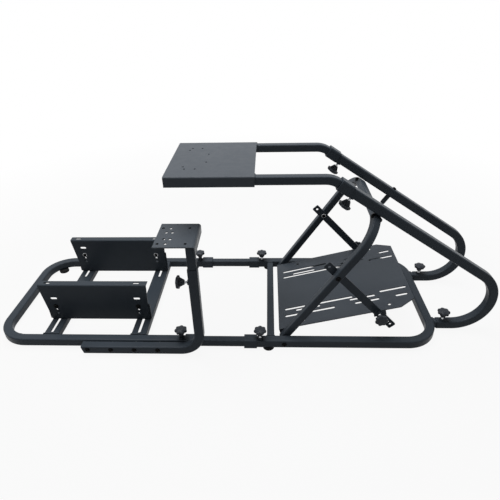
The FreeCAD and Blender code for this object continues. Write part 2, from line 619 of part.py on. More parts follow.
# Floor loops, cross tube, link tubes and the collars they slide in.
loop = u_tube("pedal_loop", PEDAL_MOUTH_X, f"({PEDAL_LOOP_X} - Sizes.tube / 2)",
              "(Sizes.rail_spacing / 2)", "Sizes.loop_bend")
put(loop, y=MID_Y, z=RAIL_Z)
NODES.append(loop)
loop = u_tube("seat_loop", "(-Sizes.seat_mouth_x)", "(Sizes.overall_length / 2 - Sizes.tube / 2)",
              "(Sizes.rail_spacing / 2)", "Sizes.loop_bend")
spare = new_sketch(loop, "SpareHoles", "XZ_Plane", z="(Sizes.rail_spacing / 2)")
for number in range(int(value("Sizes.spacer_count"))):
    circle(spare, f"(-Sizes.spacer_x - {number} * Sizes.spacer_pitch)", "0", "Sizes.rail_hole")
pocket(loop, spare, "(Sizes.tube + 2 * Sizes.tube_wall)")
put(loop, y=MID_Y, z=RAIL_Z, turn="180")
NODES.append(loop)

tube = straight_tube("pedal_cross_tube", "XZ_Plane", "Sizes.cross_tube", "Sizes.cross_corner",
                     "(Sizes.rail_spacing - Sizes.tube)", both_ways=True)
put(tube, f"({HOOP_X} - Sizes.cross_tube_run)", MID_Y, RAIL_Z)
NODES.append(tube)

for side, sign in SIDES:
    rail_y = f"{MID_Y} + {sign} * Sizes.rail_spacing / 2"
    tube = straight_tube(f"link_tube_{side}", "YZ_Plane", SLIDER, "Sizes.slider_corner", "Sizes.link_length")
    put(tube, "Sizes.link_start_x", rail_y, RAIL_Z)
    NODES.append(tube)
    ring_piece = collar(f"pedal_collar_{side}")
    put(ring_piece, f"({PEDAL_MOUTH_X} - Sizes.collar_lip)", rail_y, RAIL_Z)
    NODES.append(ring_piece)
    ring_piece = collar(f"seat_collar_{side}")
    put(ring_piece, "(Sizes.seat_mouth_x + Sizes.collar_lip)", rail_y, RAIL_Z, turn="180")
    NODES.append(ring_piece)

# Hooked arms on their stubs, with collars at the mouths for the wheel deck's fork.
ARM_LEG = (f"(({ARC_X} + Sizes.arm_bend * sin{SLOPE} - {MOUTH_X}) / cos{SLOPE} - Sizes.collar_lip)")
for side, sign in SIDES:
    arm_y = f"{MID_Y} + {sign} * Sizes.arm_spacing / 2"
    arm = bent_tube(f"arm_{side}", "Sizes.tube", "Sizes.tube_corner", (ARM_START_X, RAIL_Z),
                    f"({ARC_X} - {ARM_START_X})", "Sizes.arm_bend", "(180 - Sizes.arm_angle)", ARM_LEG)
    put(arm, y=arm_y)
    NODES.append(arm)
    ring_piece = collar(f"arm_collar_{side}")
    put(ring_piece, MOUTH_X, arm_y, MOUTH_Z, Vector(0, 1, 0), "Sizes.arm_angle")
    NODES.append(ring_piece)
    stub = straight_tube(f"arm_stub_{side}", "YZ_Plane", SLIDER, "Sizes.slider_corner", "Sizes.stub_length")
    put(stub, PEDAL_LOOP_X, arm_y, RAIL_Z)
    NODES.append(stub)
    fork = bent_tube(f"fork_{side}", SLIDER, "Sizes.slider_corner", ("Sizes.fork_start_x", FORK_Z),
                     f"({FORK_CORNER_X} - {FORK_TANGENT} - Sizes.fork_start_x)", "Sizes.fork_bend",
                     "-Sizes.arm_angle", "Sizes.fork_inside")
    put(fork, y=arm_y)
    NODES.append(fork)

# Wheel plate: folded down along both sides over the fork tubes.
PLATE_WIDTH = f"(Sizes.arm_spacing + {SLIDER} + 2 * Sizes.sheet)"
PLATE_MID_X = "(Sizes.wheel_plate_x + Sizes.wheel_plate_length / 2)"
plate = channel("wheel_plate", "YZ_Plane", PLATE_WIDTH, "Sizes.wheel_flange", "Sizes.wheel_plate_length")
holes = new_sketch(plate, "Holes", "XY_Plane")
for across in ("-1", "1"):
    for along in ("-1", "1"):
        circle(holes, f"(Sizes.wheel_rect_x - {PLATE_MID_X} + {along} * Sizes.wheel_rect_dx / 2)",
               f"({across} * Sizes.wheel_rect_dy / 2)", "Sizes.fixing_hole")
    circle(holes, f"(Sizes.wheel_rear_x - {PLATE_MID_X})", f"({across} * Sizes.wheel_rear_dy / 2)",
           "Sizes.fixing_hole")
    circle(holes, f"(Sizes.wheel_mid_x - {PLATE_MID_X})", f"({across} * Sizes.wheel_mid_dy / 2)",
           "Sizes.fixing_hole")
pocket(plate, holes, "(3 * Sizes.sheet)")
put(plate, PLATE_MID_X, MID_Y, "Sizes.deck_height")
NODES.append(plate)

# Hoop: stands square to the arms' slope and carries them on its cross-piece.
hoop = u_tube("hoop", "(-Sizes.hoop_tail)", HOOP_REACH, LEG_Y, "Sizes.hoop_bend",
              "Sizes.hoop_tube", "Sizes.hoop_corner")
put(hoop, HOOP_X, MID_Y, RAIL_Z, Vector(0, -1, 0), "90 - Sizes.arm_angle")
NODES.append(hoop)

# Straps from the hoop's legs down to the pedal plate.
for side, sign in SIDES:
    strap = new_body(f"plate_strap_{side}")
    flat = new_sketch(strap, "Flat", "XZ_Plane")
    end = "(Sizes.strap_width / 2)"
    tail = "(Sizes.strap_length - Sizes.strap_head)"
    outline(flat, ((f"(-Sizes.strap_head - {end})", f"-{end}", "Sizes.slider_corner"),
                   (f"({tail} + {end})", f"-{end}", "Sizes.slider_corner"),
                   (f"({tail} + {end})", end, "Sizes.slider_corner"),
                   (f"(-Sizes.strap_head - {end})", end, "Sizes.slider_corner")))
    circle(flat, "0", "0", "Sizes.strap_hole")
    circle(flat, "(-Sizes.strap_head)", "0", "Sizes.strap_hole")
    circle(flat, tail, "0", "Sizes.strap_hole")
    circle(flat, f"({tail} - Sizes.strap_hole_step)", "0", "Sizes.strap_hole")
    pad(strap, flat, "Sizes.strap_sheet", both_ways=True)
    put(strap, STRAP_X, f"{MID_Y} + {sign} * ({STRAP_Y} - Sizes.strap_sheet / 2)", STRAP_Z,
        Vector(0, 1, 0), "Sizes.strap_angle")
    NODES.append(strap)

# Pedal plate: flat sheet with cut corners and four lugs folded down at its long edges.
TILT = "(Sizes.pedal_plate_tilt * 1 deg)"
KNOB_RUN = (f"(({STRAP_Z} + {STRAP_X} * tan(Sizes.strap_angle * 1 deg) - Sizes.pedal_plate_z"
            f" + {PEDAL_PLATE_X} * tan{TILT} + Sizes.lug_depth / 2 / cos{TILT})"
            f" / (tan(Sizes.strap_angle * 1 deg) + tan{TILT}))")
KNOB_ON_PLATE = f"(({KNOB_RUN} - {PEDAL_PLATE_X}) / cos{TILT})"
plate = new_body("pedal_plate")
sheet = new_sketch(plate, "Sheet", "XY_Plane")
long_edge, cut_x = "Sizes.pedal_plate_length", "(Sizes.pedal_plate_length - Sizes.pedal_chamfer_x)"
cut_y = f"({PLATE_HALF} - Sizes.pedal_chamfer_y)"
outline(sheet, (("0", f"-{PLATE_HALF}", None), (cut_x, f"-{PLATE_HALF}", None),
                (long_edge, f"-{cut_y}", None), (long_edge, cut_y, None),
                (cut_x, PLATE_HALF, None), ("0", PLATE_HALF, None)))
pad(plate, sheet, "Sizes.sheet", reverse=True)
for sign, name in (("-1", "RightLugs"), ("1", "LeftLugs")):
    lugs = new_sketch(plate, name, "XZ_Plane", z=f"(-({sign}) * ({PLATE_HALF} - Sizes.sheet / 2))")
    for middle in ("(Sizes.lug_length / 2)", KNOB_ON_PLATE):
        low, high = f"({middle} - Sizes.lug_length / 2)", f"({middle} + Sizes.lug_length / 2)"
        outline(lugs, ((low, "-Sizes.lug_depth", None), (high, "-Sizes.lug_depth", None),
                       (high, "-Sizes.sheet / 2", None), (low, "-Sizes.sheet / 2", None)))
    pad(plate, lugs, "Sizes.sheet", both_ways=True)
cuts = new_sketch(plate, "Slots", "XY_Plane")
for across in ("-1", "1"):
    for row, name in (("inner", "inner_long"), ("middle", "middle_long"), ("outer", "outer_long"),
                      ("middle", "middle_short"), ("outer", "outer_short"),
                      ("inner", "inner_toe"), ("outer", "outer_toe")):
        first, last = f"Sizes.{name}_start", f"Sizes.{name}_end"
        slot(cuts, f"(({first} + {last}) / 2)", f"({across} * Sizes.pedal_row_{row})",
             f"({last} - {first})", "Sizes.pedal_slot_wide")
    for name in ("low", "high"):
        circle(cuts, f"Sizes.pedal_hole_{name}", f"({across} * Sizes.pedal_hole_y)", "Sizes.pedal_hole")
pocket(plate, cuts, "(3 * Sizes.sheet)")
put(plate, PEDAL_PLATE_X, MID_Y, "Sizes.pedal_plate_z", Vector(0, -1, 0), "Sizes.pedal_plate_tilt")
NODES.append(plate)

# Seat loop's cross-bars, with a slot near each end.
for name in ("front", "rear"):
    bar = channel(f"seat_bar_{name}", "XZ_Plane", "Sizes.bar_width", "Sizes.bar_depth",
                  "(Sizes.rail_spacing - Sizes.tube)")
    slots = new_sketch(bar, "Slots", "XY_Plane")
    for across in ("-1", "1"):
        half_long, half_wide = "(Sizes.bar_slot_long / 2)", "(Sizes.bar_slot_wide / 2)"
        y = f"({across} * Sizes.bar_slot_y)"
        round_end = f"({half_wide} * 0.98)"
        outline(slots, ((f"-{half_wide}", f"({y} - {half_long})", round_end),
                        (half_wide, f"({y} - {half_long})", round_end),
                        (half_wide, f"({y} + {half_long})", round_end),
                        (f"-{half_wide}", f"({y} + {half_long})", round_end)))
    pocket(bar, slots, "(3 * Sizes.sheet)")
    put(bar, f"Sizes.{name}_bar_x", MID_Y, RAIL_TOP)
    NODES.append(bar)

# Seat brackets: two like angles that stand on the cross-bars.
BRACKET_Z = f"({RAIL_TOP} + Sizes.bracket_lift)"
for side, sign in SIDES:
    bracket = new_body(f"seat_bracket_{side}")
    slot_z, clip_rise = f"Sizes.seat_slot_z_{side}", f"Sizes.clip_rise_{side}"
    section = new_sketch(bracket, "Section", "YZ_Plane", z="Sizes.bracket_top_x")
    under = "(Sizes.bracket_height - Sizes.sheet)"
    outline(section, (("0", "0", None), ("Sizes.sheet", "0", None),
                      ("Sizes.sheet", under, "(Sizes.sheet_bend - Sizes.sheet)"),
                      ("Sizes.bracket_flange", under, None),
                      ("Sizes.bracket_flange", "Sizes.bracket_height", None),
                      ("0", "Sizes.bracket_height", "Sizes.sheet_bend")))
    pad(bracket, section, "Sizes.bracket_top_length")
    ends = new_sketch(bracket, "Ends", "XZ_Plane")
    margin = "(2 * Sizes.sheet)"
    low, high = f"-{margin}", f"(Sizes.bracket_height + {margin})"
    near_top, near_base = "Sizes.bracket_top_x", "Sizes.bracket_base_x"
    far_top = f"({near_top} + Sizes.bracket_top_length)"
    far_base = f"({near_base} + Sizes.bracket_base_length)"
    lean = f"(({near_base} - {near_top}) / Sizes.bracket_height * {margin})"
    outline(ends, ((f"({near_top} - 2 * {margin})", low, None), (f"({near_base} + {lean})", low, None),
                   (f"({near_top} - {lean})", high, None), (f"({near_top} - 2 * {margin})", high, None)))
    lean = f"(({far_top} - {far_base}) / Sizes.bracket_height * {margin})"
    outline(ends, ((f"({far_base} - {lean})", low, None), (f"({far_top} + 2 * {margin})", low, None),
                   (f"({far_top} + 2 * {margin})", high, None), (f"({far_top} + {lean})", high, None)))
    pocket(bracket, ends, "(4 * Sizes.bracket_flange)")
    holes = new_sketch(bracket, "Holes", "XZ_Plane")
    for along in ("-1", "1"):
        x = f"(Sizes.seat_slot_x + {along} * Sizes.seat_slot_dx / 2)"
        slot(holes, x, f"({slot_z} - {BRACKET_Z})", "Sizes.seat_slot_long", "Sizes.seat_slot_wide")
        for number in range(3):
            circle(holes, x, f"({slot_z} - {BRACKET_Z} - Sizes.bracket_hole_drop"
                             f" - {number} * Sizes.bracket_hole_step)", "Sizes.bracket_hole")
    pocket(bracket, holes, "(3 * Sizes.sheet)")
    top_slots = new_sketch(bracket, "TopSlots", "XY_Plane", z="Sizes.bracket_height")
    for along in ("-1", "1"):
        slot(top_slots, f"(Sizes.flange_slot_x + {along} * Sizes.flange_slot_dx / 2)",
             "((Sizes.bracket_flange + Sizes.sheet) / 2)", "Sizes.flange_slot_long", "Sizes.flange_slot_wide")
    pocket(bracket, top_slots, "(3 * Sizes.sheet)")
    put(bracket, y=f"{MID_Y} + {sign} * Sizes.bracket_y", z=BRACKET_Z)
    NODES.append(bracket)

    clips = []
    for name in ("front", "rear"):
        clip = new_body(f"clip_{side}_{name}")
        section = new_sketch(clip, "Section", "YZ_Plane")
        outline(section, (("0", "0", "Sizes.sheet_bend"), ("Sizes.clip_leg", "0", None),
                          ("Sizes.clip_leg", "Sizes.sheet", None),
                          ("Sizes.sheet", "Sizes.sheet", "(Sizes.sheet_bend - Sizes.sheet)"),
                          ("Sizes.sheet", clip_rise, None), ("0", clip_rise, None)))
        pad(clip, section, "Sizes.clip_width", both_ways=True)
        along = "1" if name == "front" else "-1"
        holes = new_sketch(clip, "Holes", "XZ_Plane")
        for number in range(3):
            circle(holes, f"(Sizes.seat_slot_x + {along} * Sizes.seat_slot_dx / 2 - Sizes.{name}_bar_x)",
                   f"({slot_z} - {RAIL_TOP} - Sizes.bracket_hole_drop"
                   f" - {number} * Sizes.bracket_hole_step)", "Sizes.bracket_hole")
        pocket(clip, holes, "(3 * Sizes.sheet)")
        put(clip, f"Sizes.{name}_bar_x", f"{MID_Y} + {sign} * Sizes.bracket_y + Sizes.sheet", RAIL_TOP)
        clips.append(clip)
    NODES.append(compound(f"bracket_clips_{side}", clips))

# Shifter: lower tube beside the right rail, post, and the plate on the inner post.
post_y = f"{MID_Y} - {SHIFTER_Y}"
post = bent_tube("shifter_post", "Sizes.tube", "Sizes.tube_corner", ("Sizes.shifter_start_x", RAIL_Z),
                 "(Sizes.shifter_post_x - Sizes.shifter_bend - Sizes.shifter_start_x)", "Sizes.shifter_bend",
                 "90", f"(Sizes.shifter_top - {RAIL_Z} - Sizes.shifter_bend)")
slant = new_sketch(post, "SlantedEnd", "XZ_Plane")
beyond = f"({RAIL_TOP} + Sizes.tube_wall)"
beneath = "(Sizes.foot_height - Sizes.tube_wall)"
spill = "(Sizes.shifter_end_cut / Sizes.tube * Sizes.tube_wall)"
outline(slant, (("(Sizes.shifter_start_x - Sizes.tube / 2)", beneath, None),
                (f"(Sizes.shifter_start_x + Sizes.shifter_end_cut + {spill})", beneath, None),
                (f"(Sizes.shifter_start_x - {spill})", beyond, None),
                ("(Sizes.shifter_start_x - Sizes.tube / 2)", beyond, None)))
pocket(post, slant, "(2 * Sizes.tube)")
put(post, y=post_y)
NODES.append(post)
spacers = []
for number in range(int(value("Sizes.spacer_count"))):
    disc = DOC.addObject("Part::Cylinder", f"spacer_{number + 1}")
    bind(disc, "Radius", "Sizes.spacer_width / 2")
    bind(disc, "Height", "Sizes.spacer")
    put(disc, f"Sizes.spacer_x + {number} * Sizes.spacer_pitch",
        f"{MID_Y} - Sizes.rail_spacing / 2 - Sizes.tube / 2", RAIL_Z, Vector(1, 0, 0), "90")
    spacers.append(disc)
NODES.append(compound("shifter_spacers", spacers))

POST_LOW = "(Sizes.shifter_top - Sizes.post_inside)"
inner = straight_tube("shifter_inner_post", "XY_Plane", SLIDER, "Sizes.slider_corner",
                      f"(Sizes.shifter_plate_top - Sizes.shifter_fold - {POST_LOW})")
put(inner, "Sizes.shifter_post_x", post_y, POST_LOW)
NODES.append(inner)

plate = new_body("shifter_plate")
section = new_sketch(plate, "Section", "XZ_Plane")
inside = "(Sizes.shifter_plate_length - Sizes.sheet)"
outline(section, (("0", "-Sizes.sheet", None), (inside, "-Sizes.sheet", "(Sizes.shifter_fold - Sizes.sheet)"),
                  (inside, "-Sizes.shifter_flange", None),
                  ("Sizes.shifter_plate_length", "-Sizes.shifter_flange", None),
                  ("Sizes.shifter_plate_length", "0", "Sizes.shifter_fold"), ("0", "0", None)))
pad(plate, section, "Sizes.shifter_plate_width", both_ways=True)
holes = new_sketch(plate, "Holes", "XY_Plane")
for across in ("-1", "1"):
    for along in ("-1", "1"):
        circle(holes, f"(Sizes.shifter_hole_x + {along} * Sizes.shifter_hole_dx / 2)",
               f"({across} * Sizes.shifter_hole_dy / 2 - Sizes.shifter_hole_off)", "Sizes.shifter_hole")
        circle(holes, f"(Sizes.shifter_group_x + {along} * Sizes.shifter_group_dx)",
               f"({across} * Sizes.shifter_group_dy - Sizes.shifter_hole_off)", "Sizes.shifter_group")
    circle(holes, "Sizes.shifter_group_x", f"({across} * Sizes.shifter_group_out - Sizes.shifter_hole_off)",
           "Sizes.shifter_group")
pocket(plate, holes, "(3 * Sizes.sheet)")
put(plate, f"(Sizes.shifter_post_x + {SLIDER} / 2 + Sizes.sheet - Sizes.shifter_plate_length)",
    f"{MID_Y} - {SHIFTER_EDGE} + Sizes.shifter_plate_width / 2", "Sizes.shifter_plate_top")
NODES.append(plate)

# Rubber feet.
corner_y = "(Sizes.rail_spacing / 2 - Sizes.foot_corner_inset / 2)"
NODES.append(feet("pedal_feet", [
    (place, f"{sign} * {across}")
    for sign in ("-1", "1")
    for place, across in (
        (f"{PEDAL_MOUTH_X} + Sizes.collar_length + Sizes.foot_mouth_inset", "Sizes.rail_spacing / 2"),
        (f"{PEDAL_LOOP_X} - Sizes.foot_corner_inset", corner_y))]))
NODES.append(feet("seat_feet", [
    (place, f"{sign} * {across}")
    for sign in ("-1", "1")
    for place, across in (
        ("Sizes.seat_mouth_x - Sizes.collar_length - Sizes.foot_mouth_inset", "Sizes.rail_spacing / 2"),
        ("Sizes.foot_corner_inset - Sizes.overall_length / 2", corner_y))]))

# Star knobs that clamp the sliding tubes and the pedal plate.
master = star_knob()
mid, rail_top = value(MID_Y), value(RAIL_TOP)
half_rail, half_arm = value("Sizes.rail_spacing / 2"), value("Sizes.arm_spacing / 2")
up = (0, 0, 1)
for node, x, half in (("seat_rail_knobs", "Sizes.seat_mouth_x - Sizes.rail_knob_run", half_rail),
                      ("pedal_rail_knobs", f"{PEDAL_MOUTH_X} + Sizes.rail_knob_run", half_rail),
                      ("arm_stub_knobs", f"{ARM_START_X} + Sizes.arm_knob_run", half_arm)):
    NODES.append(knobs(node, master, [((value(x), mid + s * half, rail_top), up) for s in (-1, 1)]))
slope = math.radians(value("Sizes.arm_angle"))
along, drop = value("Sizes.mouth_knob"), value("Sizes.tube / 2")
under_x = value(MOUTH_X) + along * math.cos(slope) - drop * math.sin(slope)
under_z = value(MOUTH_Z) - along * math.sin(slope) - drop * math.cos(slope)
down = (-math.sin(slope), 0, -math.cos(slope))
NODES.append(knobs("arm_mouth_knobs", master, [
    ((under_x, mid + s * half_arm, under_z), down) for s in (-1, 1)]))
strap_knob_x = value(KNOB_RUN)
strap_drop = (strap_knob_x - value(STRAP_X)) * math.tan(math.radians(value("Sizes.strap_angle")))
strap_knob_z = value(STRAP_Z) - strap_drop
NODES.append(knobs("strap_knobs", master, [
    ((strap_knob_x, mid + s * value(STRAP_Y), strap_knob_z), (0, s, 0)) for s in (-1, 1)]))
NODES.append(knobs("shifter_knob", master, [
    ((value("Sizes.shifter_post_x - Sizes.tube / 2"), value(post_y), value("Sizes.shifter_knob_z")),
     (-1, 0, 0))]))

DOC.recompute()
for thing in DOC.Objects:
    if any(word in thing.State for word in ("Invalid", "Error")):
        raise RuntimeError(f"{thing.Label} failed: {thing.State}")
for node in NODES:
    if node.Shape.isNull() or not node.Shape.isValid():
        raise RuntimeError(f"{node.Label} has no valid shape")
os.makedirs("parts", exist_ok=True)
for node in NODES:
    node.Shape.exportStep(os.path.join("parts", f"{node.Label}.step"))
    print(f"{node.Label}: {len(node.Shape.Solids)} solids, {node.Shape.Volume / 1000:.1f} cm3")
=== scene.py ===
"""Sim racing cockpit frame: coats, star knobs, bolts, welds, plugs and feet on the CAD frame, in a studio."""

from __future__ import annotations

import json
import logging
from dataclasses import dataclass
from enum import Enum
from math import cos, pi, radians, sin, sqrt
from typing import Any, Callable, NamedTuple, Sequence

import bmesh
import bpy
from mathutils import Euler, Matrix, Vector

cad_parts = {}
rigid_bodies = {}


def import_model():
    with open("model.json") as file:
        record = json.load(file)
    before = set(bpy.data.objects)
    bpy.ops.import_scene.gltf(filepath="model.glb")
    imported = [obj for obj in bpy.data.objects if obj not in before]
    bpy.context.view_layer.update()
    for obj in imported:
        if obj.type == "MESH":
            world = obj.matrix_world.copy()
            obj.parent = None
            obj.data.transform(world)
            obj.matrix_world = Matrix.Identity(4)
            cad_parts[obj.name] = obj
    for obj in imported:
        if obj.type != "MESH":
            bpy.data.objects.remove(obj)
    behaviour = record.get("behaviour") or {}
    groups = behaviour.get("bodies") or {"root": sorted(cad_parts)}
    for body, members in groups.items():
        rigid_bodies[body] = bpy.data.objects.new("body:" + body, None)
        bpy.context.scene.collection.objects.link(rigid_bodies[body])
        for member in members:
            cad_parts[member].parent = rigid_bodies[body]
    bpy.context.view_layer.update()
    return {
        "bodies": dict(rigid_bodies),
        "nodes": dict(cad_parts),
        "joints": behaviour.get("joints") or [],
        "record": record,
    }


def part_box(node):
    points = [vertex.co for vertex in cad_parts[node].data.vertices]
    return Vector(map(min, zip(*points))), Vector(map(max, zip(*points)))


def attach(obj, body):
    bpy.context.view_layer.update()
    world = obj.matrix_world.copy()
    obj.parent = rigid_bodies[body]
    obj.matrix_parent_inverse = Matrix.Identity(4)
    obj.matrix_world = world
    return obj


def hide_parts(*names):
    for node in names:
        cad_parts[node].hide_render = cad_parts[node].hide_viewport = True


LOG = logging.getLogger("cockpit")

Colour = tuple[float, float, float]
Point = tuple[float, float, float]
Socket = bpy.types.NodeSocket
Mesh = bpy.types.Mesh
Material = bpy.types.Material

# Places of the CAD frame, in millimetres. A half is how far each piece of a pair stands from the mid plane.
MM = 0.001
MID_Y = 16.5
TUBE = 30.0
RAIL_Z = 25.0
RAIL_TOP = RAIL_Z + TUBE / 2
RAIL_HALF = 240.0
ARM_HALF = 141.0
STRAP_HALF = 200.0
BRACKET_HALF = 150.0
SHIFTER_Y = MID_Y - 274.0
BAR_REAR_X = -651.0
BAR_FRONT_X = -349.0

# The arms' slope, and how far their middle line passes from the origin.
ARM_SLOPE = radians(33.5)
ARM_LINE = 621.1

# Directions. The driver faces along X, so the right side is the one at lower Y.
SIDES = (-1.0, 1.0)
ALONG: Point = (1.0, 0.0, 0.0)
BACK: Point = (-1.0, 0.0, 0.0)
LEFT: Point = (0.0, 1.0, 0.0)
RIGHT: Point = (0.0, -1.0, 0.0)
UP: Point = (0.0, 0.0, 1.0)
UP_ARM: Point = (-cos(ARM_SLOPE), 0.0, sin(ARM_SLOPE))
DOWN_ARM: Point = (cos(ARM_SLOPE), 0.0, -sin(ARM_SLOPE))
UNDER_ARM: Point = (-sin(ARM_SLOPE), 0.0, -cos(ARM_SLOPE))

# Noises of every finish, in waves to the metre, and how strongly its grain and its painted edge highlights
# show.
PATCH_WAVES = 9.0
HIGHLIGHT_WAVES = 70.0
GLOSS_WAVES = 38.0
GRAIN_SHARE = 0.35
HIGHLIGHT_LEAST = 0.1

# Likeness of the rounded and the flat normal on an edge and on a face.
EDGE_LIKENESS = 0.9
FACE_LIKENESS = 0.995

WHITE = (1.0, 1.0, 1.0, 1.0)
SHARP_ANGLE = radians(34.0)


class Body(Enum):
    """The bodies of the frame that take pieces."""

    PEDAL = "pedal_frame"
    SEAT = "seat_frame"
    DECK = "wheel_deck"
    SHIFTER = "shifter_head"


class Slot(Enum):
    """The material slots a scene can repaint."""

    FRAME = "frame_paint"
    SHEET = "sheet_paint"
    KNOB = "knob_plastic"
    FOOT = "foot_rubber"
    ZINC = "zinc"


class NodeBench:
    """A node tree with short calls to add and feed nodes."""

    def __init__(self, tree: bpy.types.NodeTree) -> None:
        """Take a node tree."""
        self.tree = tree

    def add(self, kind: str, feeds: dict[str | int, Any] | None = None, **settings: Any) -> bpy.types.Node:
        """Add a node.

        Args:
            kind: the node's type.
            feeds: what its inputs take, as for feed.
            settings: properties set on the node.

        Returns:
            The new node.
        """
        node = self.tree.nodes.new(kind)
        for name, value in settings.items():
            setattr(node, name, value)
        self.feed(node, feeds or {})
        return node

    def feed(self, node: bpy.types.Node, feeds: dict[str | int, Any]) -> None:
        """Link or set the inputs of a node.

        Args:
            node: the node.
            feeds: a socket to link or a plain value for each input named or numbered.
        """
        for key, value in feeds.items():
            if isinstance(value, Socket):
                self.tree.links.new(value, node.inputs[key])
            else:
                node.inputs[key].default_value = value


class NodeBoard(NodeBench):
    """A material with one principled shader, and the patterns that drive it."""

    def __init__(self, name: str) -> None:
        """Start a material.

        Args:
            name: the material's name.
        """
        self.material = bpy.data.materials.new(name)
        self.material.use_nodes = True
        super().__init__(self.material.node_tree)
        self.shader = self.tree.nodes["Principled BSDF"]
        self.coords = self.add("ShaderNodeTexCoord").outputs["Object"]

    def noise(self, scale: float, detail: float) -> Socket:
        """Add noise in object coordinates, its scale in waves to the metre and its detail in octaves."""
        node = self.add("ShaderNodeTexNoise", {"Vector": self.coords, "Scale": scale, "Detail": detail})
        return node.outputs["Fac"]

    def spread(self, value: Socket, low: float, high: float, start: float = 0.3, end: float = 0.7) -> Socket:
        """Map a value to a range.

        Args:
            value: socket to map.
            low: result at start.
            high: result at end.
            start: input that gives low.
            end: input that gives high.

        Returns:
            The mapped value's socket.
        """
        node = self.add("ShaderNodeMapRange", {"Value": value, "From Min": start, "From Max": end,
                                               "To Min": low, "To Max": high})
        return node.outputs["Result"]

    def product(self, first: Socket, second: Socket) -> Socket:
        """Multiply two values."""
        return self.add("ShaderNodeMath", {0: first, 1: second}, operation="MULTIPLY").outputs["Value"]

    def blend(self, factor: Socket, first: Socket | Colour, second: Colour) -> Socket:
        """Mix two colours.

        Args:
            factor: share of the second colour.
            first: first colour, a socket or a plain colour.
            second: second colour.

        Returns:
            The mixed colour's socket.
        """
        if isinstance(first, tuple):
            first = (*first, 1.0)
        # The colour sockets go by number: a mix node has others of the same names for numbers and vectors.
        node = self.add("ShaderNodeMix", {"Factor": factor, 6: first, 7: (*second, 1.0)}, data_type="RGBA")
        return node.outputs[2]

    def edges(self, radius: float) -> tuple[Socket, Socket]:
        """Find the edges of the surface.

        Args:
            radius: reach of the rounding from an edge, in metres.

        Returns:
            The rounded normal's socket and an edge mask's socket, 1 on an edge.
        """
        rounded = self.add("ShaderNodeBevel", {"Radius": radius}, samples=6).outputs["Normal"]
        flat = self.add("ShaderNodeNewGeometry").outputs["Normal"]
        likeness = self.add("ShaderNodeVectorMath", {0: rounded, 1: flat}, operation="DOT_PRODUCT")
        return rounded, self.spread(likeness.outputs["Value"], 1.0, 0.0, EDGE_LIKENESS, FACE_LIKENESS)

    def bump(self, height: Socket, strength: float, depth: float, normal: Socket) -> Socket:
        """Give a normal a fine relief, its depth in metres."""
        node = self.add("ShaderNodeBump", {"Strength": strength, "Distance": depth, "Height": height,
                                           "Normal": normal})
        return node.outputs["Normal"]


@dataclass(frozen=True)
class Finish:
    """A surface: its slot, its colour, its painted edge highlight, its gloss and its fine grain."""

    name: str
    slot: Slot
    colour: Colour
    mottle: Colour
    # Colour of the painted edge highlight, a paler colour laid on every edge to stand in for edge glints.
    edge_highlight: Colour
    roughness: float
    rough_swing: float
    grain: float
    grain_depth: float
    specular: float = 0.5
    metallic: float = 0.0
    edge: float = 0.0012
    # The most that the painted edge highlight shows on an edge.
    highlight_most: float = 0.6

    def build(self) -> Material:
        """Build the finish's material.

        Returns:
            The material.
        """
        board = NodeBoard(self.name)
        mottled = board.spread(board.noise(PATCH_WAVES, detail=4.0), 0.0, 1.0)
        patches = board.blend(mottled, self.colour, self.mottle)
        normal, mask = board.edges(self.edge)
        # Painted highlight: every edge is lightened towards the paler highlight colour in noisy patches,
        # standing in for glints on the edges.
        highlight_share = board.product(mask, board.spread(board.noise(HIGHLIGHT_WAVES, detail=3.0), HIGHLIGHT_LEAST, self.highlight_most))
        low, high = self.roughness - self.rough_swing, self.roughness + self.rough_swing
        board.feed(board.shader, {
            "Metallic": self.metallic, "Specular IOR Level": self.specular,
            "Base Color": board.blend(highlight_share, patches, self.edge_highlight),
            "Roughness": board.spread(board.noise(GLOSS_WAVES, detail=3.0), low, high),
            "Normal": board.bump(board.noise(self.grain, detail=2.0), GRAIN_SHARE, self.grain_depth, normal)})
        return board.material


# The third colour of each finish is its painted edge highlight.
TUBE_COAT = Finish(
    "tube_coat", Slot.FRAME, colour=(0.0360, 0.0450, 0.0560), mottle=(0.0400, 0.0495, 0.0610),
    edge_highlight=(0.078, 0.086, 0.096), roughness=0.33, rough_swing=0.05, grain=900.0, grain_depth=0.00012,
    specular=0.08)
SHEET_COAT = Finish(
    "sheet_coat", Slot.SHEET, colour=(0.0480, 0.0570, 0.0690), mottle=(0.0540, 0.0635, 0.0760),
    edge_highlight=(0.088, 0.096, 0.106), roughness=0.36, rough_swing=0.05, grain=1100.0, grain_depth=0.00010,
    specular=0.12)
KNOB_PLASTIC = Finish(
    "knob_plastic_coat", Slot.KNOB, colour=(0.0330, 0.0380, 0.0465), mottle=(0.0370, 0.0425, 0.0510),
    edge_highlight=(0.140, 0.146, 0.158), roughness=0.40, rough_swing=0.06, grain=2400.0, grain_depth=0.00008,
    specular=0.12, edge=0.0010, highlight_most=0.65)
PLUG_PLASTIC = Finish(
    "plug_plastic", Slot.KNOB, colour=(0.0085, 0.0090, 0.0098), mottle=(0.0110, 0.0115, 0.0124),
    edge_highlight=(0.030, 0.031, 0.033), roughness=0.58, rough_swing=0.06, grain=2000.0, grain_depth=0.00010,
    specular=0.15, edge=0.0006)
FOOT_RUBBER = Finish(
    "foot_rubber_coat", Slot.FOOT, colour=(0.0090, 0.0094, 0.0100), mottle=(0.0130, 0.0134, 0.0140),
    edge_highlight=(0.028, 0.028, 0.029), roughness=0.78, rough_swing=0.08, grain=700.0, grain_depth=0.00025,
    specular=0.10, edge=0.0009)
